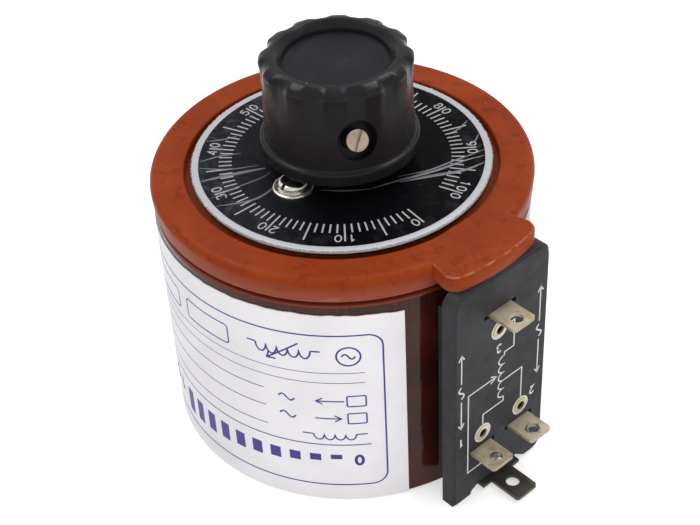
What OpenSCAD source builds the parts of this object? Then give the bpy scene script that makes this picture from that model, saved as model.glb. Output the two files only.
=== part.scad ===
// Variable autotransformer: a toroidal winding on a moulded base, with a brush gear that a knob turns.
// The spindle is the Z axis, the part stands on the lower rim of its wrap at z = 0,
// and the terminal board faces +X. All sizes are in millimetres.

/* [Wrap and label] */
// Outside diameter of the wrap round the winding
wrap_d = 82.4; // [80:0.2:90]
// Thickness of the wrap
wrap_wall = 2; // [1:0.1:2.4]
// Height of the wrap, from the surface it stands on
wrap_h = 56.7; // [50:0.1:70]
// Width of the open seam in the wrap, behind the terminal board
seam_w = 18; // [17:0.5:22]
// Thickness of the label
label_t = 0.2; // [0.1:0.05:0.4]
// Distance of the label's upper edge below the wrap's upper edge
label_drop = 2.6; // [1:0.1:10]
// Distance of the label's lower edge above the wrap's lower edge
label_rise = 0.4; // [0.2:0.1:10]
// Angle of the label's edge that is nearer the terminal board
label_start = -25; // [-40:0.1:-18]
// Angle that the label spans round the wrap
label_span = 160; // [90:1:200]

/* [Base moulding] */
// How far the base ring's side stands out past the wrap's
base_lap = 0.4; // [0:0.05:1]
// Height of the base ring's side
base_rim_h = 5.5; // [5:0.1:10]
// Open joint between the wrap and the base ring
base_joint = 1.1; // [0.4:0.1:2]
// Radius of the base ring's upper edge
base_fillet = 1.7; // [0.5:0.1:2.5]
// How much the base ring narrows towards its foot
base_draft = 0.2; // [0:0.1:1]
// Width of the groove between the dial's edge and the ring
groove_w = 1.6; // [1:0.1:3]
// Depth of the dial's seat below the top of the ring
recess_depth = 0.6; // [0.3:0.1:1]
// Depth of the groove round the dial's seat
groove_depth = 2.2; // [1.2:0.1:3]
// Diameter of the centre boss that carries the bearings
boss_d = 32; // [30:0.5:35]
// Height of the ledge under the base that the winding seats on
ledge_h = 2.6; // [1.5:0.1:4]
// How far the lug's outer edge lies behind the terminal board's front face
lug_set = 0.55; // [0.2:0.05:1.6]
// Half width of the lug
lug_half_w = 12.3; // [11.5:0.1:13.5]
// Radius of the lug's rounded ends
lug_end_r = 3; // [2.6:0.1:3.2]

/* [Dial] */
// Diameter of the dial disc
dial_d = 65; // [50:0.5:68]
// Thickness of the dial disc
dial_t = 1; // [0.6:0.1:1.6]
// Diameter of the circle that the dial screws lie on
dial_screw_pcd = 29.8; // [26:0.2:31]
// Angle of the first dial screw
dial_screw_angle = -85; // [-120:1:-60]
// Thread diameter of a dial screw
dial_screw_d = 4; // [3:0.5:4]
// Angle of the middle of the gap between the dial's two ends
dead_angle = 5.2; // [0:0.1:12]
// Angle of that gap, where the spindle can't turn
dead_span = 24.6; // [22:0.1:30]

/* [Knob] */
// Clear height between the dial and the knob
knob_gap = 4.4; // [4:0.1:7]
// Height of the knob
knob_h = 22.2; // [20:0.1:30]
// Diameter of the knob's flange
knob_flange_d = 34.2; // [33:0.2:38]
// Height of the knob's flange
knob_flange_h = 3.3; // [2:0.1:4]
// Diameter of the knob's body above its flange
knob_body_d = 32.4; // [30.4:0.2:33.4]
// How much the knob's body narrows towards its top, on the diameter
knob_taper = 1.6; // [0.4:0.1:2.4]
// Number of ribs round the knob
knob_ribs = 12; // [8:1:16]
// Radius of one rib
rib_r = 3.8; // [2:0.1:4.6]
// Distance from the spindle to the outside of a rib
rib_reach = 16.1; // [16:0.1:16.8]
// Angle of the first rib
rib_phase = 16; // [0:1:30]
// Diameter of the inlay disc in the knob's top
cap_d = 22.4; // [16:0.2:23.6]
// Thickness of the inlay disc
cap_t = 0.8; // [0.5:0.1:1.2]
// How far the inlay disc lies below the knob's lip
cap_sink = 2.2; // [1.4:0.1:2.6]
// Diameter of the slanting hole for the set screw
screw_well_d = 8.4; // [7:0.2:8.4]
// Thread diameter of the knob's set screw
knob_screw_d = 4.6; // [4:0.2:5]
// Angle of the set screw round the spindle
knob_screw_angle = -27.4; // [-60:0.2:0]
// Slant of the set screw above the horizontal
knob_screw_slant = 30; // [24:1:32]
// Height of the set screw's hole above the knob's foot, at the knob's side
knob_screw_rise = 10.5; // [10:0.1:12]

/* [Spindle and bearings] */
// Diameter of the spindle
spindle_d = 6; // [5:0.5:6.5]
// Outside diameter of a bearing bush
bush_d = 10; // [9:0.5:12]
// Length of a bearing bush
bush_l = 12; // [8:0.5:16]
// Diameter of the upper bush's flange
bush_flange_d = 12; // [11.5:0.5:13]
// Thickness of the upper bush's flange
bush_flange_t = 1.2; // [1:0.1:1.6]
// Running clearance between spindle and bush, on the radius
spindle_play = 0.04; // [0.01:0.01:0.1]

/* [Core and winding] */
// Thickness of the wire layer on the outside of the toroid
wire_outer_t = 1.6; // [1:0.1:2.4]
// Thickness of the wire layer in the toroid's bore
wire_inner_t = 2.2; // [1.2:0.1:3]
// Thickness of the wire layer on the toroid's two ends
wire_end_t = 1.5; // [1:0.1:2.4]
// Diameter of the toroid's bore, inside the wire
bore_d = 38; // [37:0.5:40]
// Number of turns that are drawn
turns = 112; // [60:4:160]
// Share of the pitch that a turn fills
turn_fill = 0.8; // [0.6:0.05:0.9]
// Wall of the insulating end caps
cap_wall = 1; // [0.6:0.1:1.4]
// Depth that the end caps reach along the core's sides
cap_reach = 9; // [4:0.5:14]
// Thickness of the pad between base and winding
pad_t = 1.2; // [0.6:0.1:2]
// Thickness of the core clamp disc
clamp_t = 2.5; // [2:0.1:3.5]
// Thickness of the fibre ring under the clamp
fibre_t = 0.6; // [0.4:0.1:1]
// Width that the clamp overlaps the winding
clamp_lap = 3; // [2:0.1:4]
// Thread diameter of a clamp screw
clamp_screw_d = 4; // [3:0.5:4]
// Diameter of the circle that the clamp screws lie on
clamp_screw_pcd = 23; // [22:0.5:23.5]

/* [Brush gear] */
// Height of the take-off leaf above the surface the part stands on
leaf_z = 1; // [0.6:0.1:2]
// Thickness of the take-off leaf and of the blade terminals
blade_t = 0.8; // [0.5:0.1:1]
// Diameter of the collector disc
collector_d = 14; // [12:0.5:16]
// Thickness of the collector disc
collector_t = 2; // [1.5:0.1:3]
// Thickness of the brush arm
arm_t = 2.5; // [2:0.1:3.5]
// Diameter of the brush arm's hub
hub_d = 18; // [16:0.5:19]
// Angle of the brush arm and the knob's index when the part is at rest
rest_angle = 152.6; // [100:0.1:200]
// How far the brush lies inside the middle of the open track, between the clamp and the winding's outside
brush_shift = 1.4; // [0:0.1:2.2]
// Width of the brush along the radius
brush_w = 5; // [4:0.1:6]
// Length of the brush round the track
brush_l = 8; // [6:0.1:9]
// Height of the brush
brush_h = 6; // [5:0.1:7]
// Wall of the brush holder
holder_wall = 1.2; // [0.8:0.1:1.6]
// Height of the brush holder
holder_h = 8.2; // [7.5:0.1:10]
// Clear height between the brush holder and the winding
holder_gap = 1.4; // [1:0.1:2]
// Diameter of the end stop's pin
stop_d = 3.2; // [2.4:0.1:3.6]
// Wire diameter of the brush spring
spring_wire = 0.5; // [0.4:0.05:0.7]

/* [Terminal board] */
// Clear distance between the wrap and the board's back
board_stand = 3.35; // [3:0.05:5]
// Thickness of the board
board_t = 3.6; // [3:0.1:3.9]
// Width of the board
board_w = 28; // [26:0.2:34]
// Height of the board's foot above the surface the part stands on
board_foot = 0.15; // [0.05:0.05:0.3]
// How far the board's upper edge lies below the base's upper face
board_drop = 3.5; // [3:0.1:4.5]
// Width of the bevel round the board's front face
board_bevel = 0.6; // [0.3:0.1:1]
// Radius of the board's upper corners
board_corner = 3; // [1.5:0.1:4]
// Height of the notch in the board's lower edge, above the leaf
notch_h = 0.4; // [0.2:0.1:1]
// Width of the blade terminals
blade_w = 6.3; // [4.8:0.1:6.6]
// How far a blade terminal stands out of the board
blade_l = 6.95; // [6:0.05:9]
// How far the take-off leaf stands out of the board
leaf_l = 8.85; // [8:0.05:11]
// Radius of the hole in a blade terminal
blade_hole_r = 1.4; // [0.8:0.05:1.6]
// Height of the two lower blade terminals
low_blade_z = 13.7; // [13:0.1:16]
// Distance of a lower blade terminal from the board's middle
low_blade_y = 5.9; // [5.4:0.1:6.4]
// Height of the upper blade terminal
high_blade_z = 50.4; // [49:0.1:51]
// Offset of the upper blade terminal from the board's middle
high_blade_y = -0.9; // [-1.2:0.1:0]
// Distance from a lower blade terminal up to its eyelet
low_eyelet_rise = 4.1; // [3.6:0.1:5]
// Distance from the upper blade terminal down to its eyelet
high_eyelet_drop = 5.6; // [5:0.1:6.5]
// Outside radius of an eyelet
eyelet_r = 1.5; // [1.2:0.1:1.6]

/* [Hidden] */
$fn = 96;
// Clearance where two pieces of one body fit together
fit = 0.05;
// Gap that is left where a contact slides
contact = 0.05;
// Overlap that joins the shapes of one solid
join = 0.5;

// Width and depth of a screwdriver slot in a large screw
slot_w = 0.9;
slot_depth = 0.9;
// Extra length of a cut, so that it passes the face it starts from
past = 1;

// Wrap and base
wrap_edge = 0.6;
spigot_gap = 0.2;
spigot_wall = 1.8;
foot_fillet = 0.5;
recess_edge = 0.5;
seat_inset = 1;
ledge_inset = 1;
lug_root = 1;
lug_splay = 1.4;
wrap_r = wrap_d / 2;
wrap_in_r = wrap_r - wrap_wall;
base_z = wrap_h + base_joint;
base_top = base_z + base_rim_h;
recess_z = base_top - recess_depth;
recess_r = dial_d / 2 + groove_w;
dial_top = recess_z + dial_t;
base_r = wrap_r + base_lap;
groove_z = base_top - groove_depth;
seat_r = dial_d / 2 - seat_inset;
spigot_r = wrap_in_r - spigot_gap;
ledge_z = base_z - ledge_h;

// The stack of the brush gear, from the take-off leaf up to the track on the winding
hub_gap = 0.8;
leaf_top = leaf_z + blade_t;
collector_z = leaf_top + contact;
arm_z = collector_z + collector_t;
arm_top = arm_z + arm_t;
track_z = arm_top + holder_h + holder_gap;
fibre_z = track_z - fibre_t;
clamp_z = fibre_z - clamp_t;
hub_top = clamp_z - hub_gap;
brush_top = track_z - contact;
brush_z = brush_top - brush_h;

// The toroid, from the brush track up to the pad under the base
wind_gap = 0.4;
turn_edge = 1;
pad_inset = 1;
pad_bore = 2;
fibre_inset = 1;
wind_top = ledge_z - pad_t;
wind_r = wrap_in_r - wind_gap;
bore_r = bore_d / 2;
caps_in_r = bore_r + wire_inner_t + fit;
caps_out_r = wind_r - wire_outer_t - fit;
caps_z = track_z + wire_end_t + fit;
caps_top = wind_top - wire_end_t - fit;
core_in_r = caps_in_r + cap_wall + fit;
core_out_r = caps_out_r - cap_wall - fit;
core_z = caps_z + cap_wall + fit;
core_top = caps_top - cap_wall - fit;
turn_pitch = (360 - dead_span) / turns;

// Boss, bushes and core clamp
boss_gap = 0.5;
clamp_clear = 0.5;
clamp_play = 0.1;
clamp_screw_l = 14;
clamp_screw_spare = 2;
clamp_head_h = 1.6;
clamp_screw_turn = 60;
boss_r = boss_d / 2;
boss_z = fibre_z + boss_gap;
bush_r = bush_d / 2;
bush_bore_r = spindle_d / 2 + spindle_play;
clamp_r = bore_r + clamp_lap;
clamp_screw_r = clamp_screw_d / 2;

// Spindle, collar and knob
washer_t = 0.6;
washer_inset = 0.4;
washer_play = 0.1;
collar_wall = 3;
collar_clear = 0.5;
collar_hole_r = 0.8;
collar_hole_wall = 0.3;
insert_wall = 4;
insert_cover = 6;
spindle_lift = 0.2;
spindle_short = 1;
knob_shoulder = 2.35;
knob_edge = 0.4;
knob_fall = 1;
knob_lip = 1.8;
knob_relief_h = 1.2;
knob_relief_wall = 1.6;
knob_relief_hub = 2;
rib_drop = 0.3;
rib_shoulder = 1.8;
index_w = 0.8;
index_depth = 0.5;
well_depth = 6;
well_past = 8;
screw_sink = 0.8;
screw_slot_w = 0.8;
screw_tip_gap = 1.6;
screw_slot_turn = -25;
knob_z = dial_top + knob_gap;
knob_top = knob_z + knob_h;
bush_top = recess_z + bush_flange_t;
collar_r = spindle_d / 2 + collar_wall;
collar_z = bush_top + washer_t;
collar_h = knob_z - collar_clear - collar_z;
insert_r = spindle_d / 2 + insert_wall;
insert_h = knob_h - insert_cover;
spindle_foot = leaf_z + spindle_lift;
spindle_top = knob_z + insert_h - spindle_short;
// Length of the set screw's axis from the knob's side to the spindle
screw_reach = (knob_body_d / 2 - spindle_d / 2) / cos(knob_screw_slant);

// Dial and its screws
dial_insert_wall = 1;
dial_insert_floor = 0.5;
dial_flange_gap = 0.3;
dial_screw_gap = 0.2;
cup_t = 0.8;
cup_rim = 0.35;
cup_curl = 0.84;
head_gap = 0.1;
head_step = 0.35;
head_collar = 0.35;
head_h = 1.9;
head_edge = 0.9;
dial_screw_r = dial_screw_d / 2;
dial_insert_l = base_rim_h - recess_depth - dial_insert_floor;

// Terminal board, blades and leads
rib_w = 1.6;
rib_y = 10;
rib_low = 6;
rib_high_drop = 4;
rib_gap = 0.3;
blade_slot_play = 0.3;
blade_slot_side = 1.1;
high_slot_side = 1.55;
low_eyelet_set = 0.5;
notch_left = 9.4;
notch_right = 8.6;
notch_step = 0.4;
notch_step_h = 1.1;
notch_slope = 2.7;
foot_corner = 2.6;
blade_crop = 0.5;
blade_hole_set = 2.4;
blade_foot_past = 1;
solder_w = 3.4;
solder_drop = 2;
eyelet_flange = 0.4;
eyelet_lip = 0.25;
eyelet_wall = 0.4;
tongue_w = 6.6;
tongue_gap = 1.2;
tongue_drop = 4;
lead_r = 0.55;
lead_inset = 1;
lead_rise = 1.6;
high_lead_side = 2.2;
high_lead_drop = 0.8;
stake_r = 1;
stake_y = 2.6;
stake_head = 0.6;
leaf_foot_h = 7;
leaf_strip_w = 8;
leaf_shoulder_w = 11.4;
leaf_shoulder_l = 1;
leaf_hole_set = 4.5;
leaf_hole_r = 1.55;
leaf_eye_inset = 0.5;
leaf_eye_gap = 0.6;
board_back = wrap_r + board_stand;
board_x = board_back + board_t;
board_top = base_top - board_drop;
board_mid = (board_top + board_foot) / 2;
lug_r = board_x - lug_set;
notch_z = leaf_top + notch_h;
foot_x = board_back - blade_t;
low_eyelet_z = low_blade_z + low_eyelet_rise;
high_eyelet_z = high_blade_z - high_eyelet_drop;
tongue_x = wind_r + tongue_gap;

// Brush arm and end stop
stop_r = 14;
stop_drop = 4;
stop_slack = 0.3;
finger_len = 5;
arm_root_w = 14;
arm_screw_r = 1.5;
arm_slot_w = 0.6;
arm_slot_depth = 0.8;
brush_play = 0.15;
spring_gap = 0.2;
spring_clear = 0.02;
brush_r = (clamp_r + wind_r) / 2 - brush_shift;
arm_screw_z = (arm_top + hub_top) / 2;
finger_half = dead_span / 2 - asin(stop_d / 2 / stop_r) - stop_slack;

// Points along an arc, for outlines
function arc(x, y, r, from, to, steps = 6) = [
    for (i = [0 : steps])
        let (a = from + (to - from) * i / steps)
        [x + r * cos(a), y + r * sin(a)]
];

// A flat ring between two heights
module ring(outer, inner, low, high) {
    translate([0, 0, low])
        linear_extrude(high - low)
            difference() {
                circle(outer);
                circle(inner);
            }
}

// A disc between two heights
module disc(radius, low, high) {
    translate([0, 0, low])
        cylinder(r = radius, h = high - low);
}

// Moves its children to a radius and an angle round the spindle
module polar(radius, angle) {
    rotate([0, 0, angle])
        translate([radius, 0, 0])
            children();
}

// Moves its children to both dial screws
module each_dial_screw() {
    for (side = [0, 180])
        polar(dial_screw_pcd / 2, dial_screw_angle + side)
            children();
}

// Moves its children to the three clamp screws
module each_clamp_screw() {
    for (i = [0 : 2])
        polar(clamp_screw_pcd / 2, clamp_screw_turn + 120 * i)
            children();
}

// Moves its children to the three eyelets, with X through the board
module each_eyelet() {
    for (place = [
        [low_eyelet_set - low_blade_y, low_eyelet_z],
        [low_eyelet_set + low_blade_y, low_eyelet_z],
        [high_blade_y, high_eyelet_z]])
        translate([0, place[0], place[1]])
            children();
}

// A cylinder along X
module rod_x(radius, low, high) {
    translate([low, 0, 0])
        rotate([0, 90, 0])
            cylinder(r = radius, h = high - low);
}

// The outline of a round block with a rounded upper edge, to be turned round the spindle
module rounded_profile(radius, low, high, edge) {
    translate([0, low])
        square([radius, high - edge - low]);
    translate([0, low])
        square([radius - edge, high - low]);
    translate([radius - edge, high - edge])
        circle(edge);
}

// The corner that is cut away to round an edge: edge is its radius, and its sharp corner lies at the origin
module corner_cut(edge) {
    difference() {
        translate([-past, -past])
            square(edge + past);
        translate([edge, edge])
            circle(edge);
        translate([-past, edge])
            square([past + edge, past]);
    }
}

// A peg with a rounded upper edge, for the ends of the lug
module rounded_peg(radius, low, high, edge) {
    rotate_extrude()
        polygon(concat(
            [[0, low], [radius, low]],
            arc(radius - edge, high - edge, edge, 0, 90),
            [[0, high]]));
}

// The lug of the base ring that covers the board's upper edge: pegs along an arc, blended into one shape
module base_lug() {
    end_r = lug_r - lug_end_r;
    end_angle = asin((lug_half_w - lug_end_r) / end_r);
    root_r = base_r - lug_end_r - lug_root;
    root_angle = asin((lug_half_w - lug_end_r - lug_splay) / root_r);
    steps = 6;
    hull() {
        for (i = [0 : steps])
            polar(end_r, end_angle * (2 * i / steps - 1))
                rounded_peg(lug_end_r, board_top, base_top, base_fillet, $fn = 32);
        for (side = [-1, 1])
            polar(root_r, side * root_angle)
                rounded_peg(lug_end_r, board_top, base_top, base_fillet, $fn = 32);
    }
    rotate([0, 0, -root_angle])
        rotate_extrude(angle = 2 * root_angle)
            translate([root_r, base_z + join])
                square([board_back - fit - root_r, board_top + join - base_z - join]);
}

// The tongue under the lug that the board's upper eyelet is riveted through
module board_tongue() {
    translate([tongue_x, high_blade_y - tongue_w / 2, high_eyelet_z - tongue_drop])
        cube([foot_x - fit - tongue_x, tongue_w, base_z + join - high_eyelet_z + tongue_drop]);
}

// The base ring's outline, with the groove round the dial's seat
module base_profile() {
    foot_r = base_r - base_draft;
    edge_r = base_r - base_fillet;
    edge_z = base_top - base_fillet;
    polygon(concat(
        [[0, base_z]],
        arc(foot_r - foot_fillet, base_z + foot_fillet, foot_fillet, -90, 0),
        [[base_r, edge_z], [edge_r, edge_z], [edge_r, base_top]],
        arc(recess_r + recess_edge, base_top - recess_edge, recess_edge, 90, 180),
        [[recess_r, groove_z], [seat_r, groove_z], [seat_r, recess_z], [0, recess_z]]));
    translate([edge_r, edge_z])
        intersection() {
            circle(base_fillet);
            square(base_fillet);
        }
}

module base_moulding() {
    color("#9c4427")
        difference() {
            union() {
                rotate_extrude()
                    base_profile();
                ring(core_out_r, bore_r + ledge_inset, ledge_z, base_z + join);
                ring(spigot_r, spigot_r - spigot_wall, wind_top + spigot_gap, base_z + join);
                disc(boss_r, boss_z, base_z + join);
                base_lug();
                board_tongue();
            }
            disc(bush_r + fit, boss_z - past, recess_z + past);
            each_dial_screw()
                disc(dial_screw_r + dial_insert_wall + fit, recess_z - dial_insert_l, recess_z + past);
            each_clamp_screw()
                disc(clamp_screw_r + fit, boss_z - past, boss_z + clamp_screw_l);
            translate([0, high_blade_y, high_eyelet_z])
                rod_x(eyelet_r + fit, tongue_x - past, board_x);
        }
}

module outer_wrap() {
    seam_half = asin(seam_w / 2 / wrap_r);
    color("#4a2a26")
        rotate([0, 0, seam_half])
            rotate_extrude(angle = 360 - 2 * seam_half)
                polygon(concat(
                    [[wrap_in_r, 0]],
                    arc(wrap_r - wrap_edge, wrap_edge, wrap_edge, -90, 0, 3),
                    arc(wrap_r - wrap_edge, wrap_h - wrap_edge, wrap_edge, 0, 90, 3),
                    [[wrap_in_r, wrap_h]]));
}

module paper_label() {
    inner_r = wrap_r + fit;
    color("#e6e4ea")
        rotate([0, 0, label_start - label_span])
            rotate_extrude(angle = label_span)
                translate([inner_r, label_rise])
                    square([label_t, wrap_h - label_drop - label_rise]);
}

module toroid_core() {
    color("#8d9096")
        ring(core_out_r, core_in_r, core_z, core_top);
}

// A channel-shaped ring over one end of the core; its flat side is at z = 0
module end_cap() {
    rotate_extrude()
        polygon([
            [caps_in_r, 0], [caps_out_r, 0],
            [caps_out_r, cap_reach], [caps_out_r - cap_wall, cap_reach],
            [caps_out_r - cap_wall, cap_wall], [caps_in_r + cap_wall, cap_wall],
            [caps_in_r + cap_wall, cap_reach], [caps_in_r, cap_reach]]);
}

module core_end_caps() {
    color("#b9a27a") {
        translate([0, 0, caps_z])
            end_cap();
        translate([0, 0, caps_top])
            mirror([0, 0, 1])
                end_cap();
    }
}

// One turn of wire: a loop round the core that widens outwards as a wedge
module turn() {
    rotate_extrude(angle = turn_pitch * turn_fill)
        difference() {
            polygon([
                [bore_r + turn_edge, track_z], [wind_r - turn_edge, track_z],
                [wind_r, track_z + turn_edge], [wind_r, wind_top - turn_edge],
                [wind_r - turn_edge, wind_top], [bore_r + turn_edge, wind_top],
                [bore_r, wind_top - turn_edge], [bore_r, track_z + turn_edge]]);
            translate([bore_r + wire_inner_t, track_z + wire_end_t])
                square([
                    wind_r - wire_outer_t - bore_r - wire_inner_t,
                    wind_top - track_z - 2 * wire_end_t]);
        }
}

module winding() {
    color("#6b3a22")
        for (i = [0 : turns - 1])
            rotate([0, 0, dead_angle + dead_span / 2 + (i + (1 - turn_fill) / 2) * turn_pitch])
                turn();
}

module seating_pad() {
    color("#a58a63")
        ring(core_out_r - pad_inset, bore_r + pad_bore, wind_top, ledge_z);
}

module clamp_fibre_ring() {
    color("#7d6a52")
        ring(clamp_r, bore_r - fibre_inset, fibre_z, track_z);
}

module core_clamp() {
    color("#9aa0a6")
        difference() {
            disc(clamp_r, clamp_z, fibre_z);
            disc(bush_r + clamp_clear, clamp_z - past, fibre_z + past);
            each_clamp_screw() {
                disc(clamp_screw_r + clamp_play, clamp_z - past, fibre_z + past);
                disc(clamp_screw_d + clamp_play, clamp_z - past, clamp_z + clamp_head_h);
            }
            polar(stop_r, dead_angle)
                disc(stop_d / 2 + fit, clamp_z - past, fibre_z + past);
        }
}

module clamp_screws() {
    color("#c8c8c4")
        each_clamp_screw()
            difference() {
                union() {
                    disc(clamp_screw_d - clamp_play, clamp_z, clamp_z + clamp_head_h - fit);
                    disc(clamp_screw_r - fit, clamp_z, boss_z + clamp_screw_l - clamp_screw_spare);
                }
                translate([-clamp_screw_d, -slot_w / 2, clamp_z - past])
                    cube([2 * clamp_screw_d, slot_w, slot_depth + past]);
            }
}

module upper_bush() {
    color("#b58a4c")
        difference() {
            union() {
                disc(bush_r, recess_z - bush_l, bush_top);
                disc(bush_flange_d / 2, recess_z, bush_top);
            }
            disc(bush_bore_r, recess_z - bush_l - past, bush_top + past);
        }
}

module lower_bush() {
    color("#b58a4c")
        ring(bush_r, bush_bore_r, boss_z, boss_z + bush_l);
}

module stop_pin() {
    color("#c8c8c4")
        polar(stop_r, dead_angle)
            disc(stop_d / 2, clamp_z - stop_drop, fibre_z);
}

module dial_inserts() {
    color("#b58a4c")
        each_dial_screw()
            ring(dial_screw_r + dial_insert_wall, dial_screw_r + fit, recess_z - dial_insert_l, recess_z);
}

module dial_disc() {
    color("#242428")
        difference() {
            disc(dial_d / 2, recess_z, dial_top);
            disc(bush_flange_d / 2 + dial_flange_gap, recess_z - past, dial_top + past);
            each_dial_screw()
                disc(dial_screw_r + dial_screw_gap, recess_z - past, dial_top + past);
        }
}

// A turned cup under each dial screw, with a rolled rim
module dial_cup_washers() {
    cup_r = dial_screw_d + cup_rim;
    color("#c9c9c6")
        each_dial_screw()
            rotate_extrude()
                polygon(concat(
                    [[dial_screw_r + fit, dial_top], [cup_r, dial_top]],
                    arc(cup_r - cup_rim, dial_top + cup_t - cup_rim, cup_rim, 0, 180),
                    [[cup_r - cup_curl, dial_top + cup_rim], [dial_screw_r + fit, dial_top + cup_rim]]));
}

// Slotted screws whose rounded heads stand on a thin collar in their cups
module dial_screws() {
    collar_r = dial_screw_d - cup_rim - head_gap;
    head_r = collar_r - head_step;
    head_z = dial_top + cup_rim + fit;
    foot_z = recess_z - dial_insert_l + fit;
    color("#d6d6d2")
        each_dial_screw()
            difference() {
                union() {
                    disc(dial_screw_r - fit, foot_z, head_z + join);
                    disc(collar_r, head_z, head_z + head_collar);
                    rotate_extrude()
                        rounded_profile(head_r, head_z, head_z + head_h, head_edge);
                }
                translate([-head_r - past, -slot_w / 2, head_z + head_h - slot_depth])
                    cube([2 * (head_r + past), slot_w, slot_depth + past]);
            }
}

// The board's outline, seen from the front: X is the part's Y and Y is the height from the board's middle
module board_outline() {
    half_w = board_w / 2;
    half_h = (board_top - board_foot) / 2;
    corner = [half_w - board_corner, half_h - board_corner];
    notch = notch_z - board_mid;
    polygon(concat(
        [[-half_w, -half_h], [-notch_left, -half_h], [-notch_left + notch_step, notch - notch_step_h]],
        [[-notch_left + notch_slope, notch], [notch_right - notch_slope, notch], [notch_right, -half_h]],
        arc(half_w - foot_corner, foot_corner - half_h, foot_corner, -90, 0),
        arc(corner[0], corner[1], board_corner, 0, 90),
        arc(-corner[0], corner[1], board_corner, 90, 180)));
}

// The bevelled slab of the board, from its back to its front face
module board_slab() {
    flat_t = board_t - board_bevel;
    board_h = board_top - board_foot;
    narrowing = [1 - 2 * board_bevel / board_w, 1 - 2 * board_bevel / board_h];
    translate([board_back, 0, board_mid])
        rotate([90, 0, 90]) {
            linear_extrude(flat_t)
                board_outline();
            translate([0, 0, flat_t])
                linear_extrude(board_bevel, scale = narrowing, slices = 1, segments = 1)
                    board_outline();
        }
}

module terminal_board() {
    rib_high = wrap_h - rib_high_drop;
    rib_x = wrap_in_r - wrap_wall;
    slot_h = blade_t + blade_slot_play;
    low_slot_w = blade_w + 2 * blade_slot_side;
    high_slot_w = blade_w + 2 * high_slot_side;
    color("#414044")
        difference() {
            union() {
                board_slab();
                for (side = [-1, 1])
                    difference() {
                        translate([rib_x, side * rib_y - rib_w / 2, rib_low])
                            cube([board_back + join - rib_x, rib_w, rib_high - rib_low]);
                        disc(wrap_r + label_t + rib_gap, 0, wrap_h + past);
                    }
                for (side = [-1, 1])
                    translate([0, side * stake_y, notch_z + leaf_foot_h / 2])
                        rod_x(stake_r, foot_x - stake_head, board_back + join);
            }
            each_eyelet()
                rod_x(eyelet_r + fit, board_back - past, board_x + past);
            for (side = [-1, 1])
                translate([board_back - past, side * low_blade_y - low_slot_w / 2, low_blade_z - slot_h / 2])
                    cube([board_t + 2 * past, low_slot_w, slot_h]);
            translate([board_back - past, high_blade_y - high_slot_w / 2, high_blade_z - slot_h / 2])
                cube([board_t + 2 * past, high_slot_w, slot_h]);
        }
}

// A blade with cropped tip corners, lying flat, from one distance along X to another
module flat_blade(low, high, hole_set, hole_r) {
    half = blade_w / 2;
    difference() {
        translate([0, 0, -blade_t / 2])
            linear_extrude(blade_t)
                polygon([
                    [low, -half], [high - blade_crop, -half], [high, -half + blade_crop],
                    [high, half - blade_crop], [high - blade_crop, half], [low, half]]);
        translate([high - hole_set, 0, -blade_t])
            cylinder(r = hole_r, h = 2 * blade_t);
    }
}

// A blade terminal with its foot on the board's back; its eyelet lies higher by rise and sideways by aside
module blade_terminal(rise, aside) {
    reach = rise > 0 ? rise + eyelet_r + blade_foot_past : rise - eyelet_r - blade_foot_past;
    edge = rise > 0 ? -blade_t / 2 : blade_t / 2;
    flat_blade(foot_x, board_x + blade_l, blade_hole_set, blade_hole_r);
    difference() {
        translate([foot_x, -blade_w / 2, min(edge, reach)])
            cube([blade_t, blade_w, abs(reach - edge)]);
        translate([0, aside, rise])
            rod_x(eyelet_r + fit, foot_x - past, board_back + past);
    }
}

module left_blade() {
    color("#9a968a")
        translate([0, -low_blade_y, low_blade_z])
            blade_terminal(low_eyelet_rise, low_eyelet_set);
}

module right_blade() {
    color("#9a968a")
        translate([0, low_blade_y, low_blade_z])
            blade_terminal(low_eyelet_rise, low_eyelet_set);
}

module upper_blade() {
    color("#9a968a")
        translate([0, high_blade_y, high_blade_z]) {
            blade_terminal(-high_eyelet_drop, 0);
            translate([foot_x, blade_w / 2 - join, -solder_drop])
                cube([blade_t, solder_w + join, solder_drop + blade_t / 2]);
        }
}

// The strip from the collector out to its own blade, with a foot staked to the board's back
module takeoff_leaf() {
    shoulder_x = board_x + leaf_shoulder_l;
    eye_r = collector_d / 2 - leaf_eye_inset;
    color("#8f8b80")
        difference() {
            union() {
                translate([0, 0, leaf_z + blade_t / 2])
                    flat_blade(shoulder_x - join, board_x + leaf_l, leaf_hole_set, leaf_hole_r);
                translate([0, -leaf_strip_w / 2, leaf_z])
                    cube([shoulder_x, leaf_strip_w, blade_t]);
                translate([foot_x, -leaf_shoulder_w / 2, leaf_z])
                    cube([shoulder_x - foot_x, leaf_shoulder_w, blade_t]);
                disc(eye_r, leaf_z, leaf_top);
                translate([foot_x, -leaf_strip_w / 2, leaf_z])
                    cube([blade_t, leaf_strip_w, notch_z + leaf_foot_h - leaf_z]);
            }
            disc(spindle_d / 2 + leaf_eye_gap, leaf_z - past, leaf_top + past);
            for (side = [-1, 1])
                translate([0, side * stake_y, notch_z + leaf_foot_h / 2])
                    rod_x(stake_r + fit, foot_x - past, board_back + past);
        }
}

// One hollow rivet along X, closed over at both ends
module eyelet(back) {
    difference() {
        union() {
            rod_x(eyelet_r, back - eyelet_lip, board_x + eyelet_lip);
            rod_x(eyelet_r + eyelet_flange, board_x, board_x + eyelet_lip);
            rod_x(eyelet_r + eyelet_flange, back - eyelet_lip, back);
        }
        rod_x(eyelet_r - eyelet_wall, back - past, board_x + past);
    }
}

module eyelets() {
    color("#c2a24e") {
        for (side = [-1, 1])
            translate([0, side * low_blade_y + low_eyelet_set, low_eyelet_z])
                eyelet(foot_x);
        translate([0, high_blade_y, high_eyelet_z])
            eyelet(tongue_x);
    }
}

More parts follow.
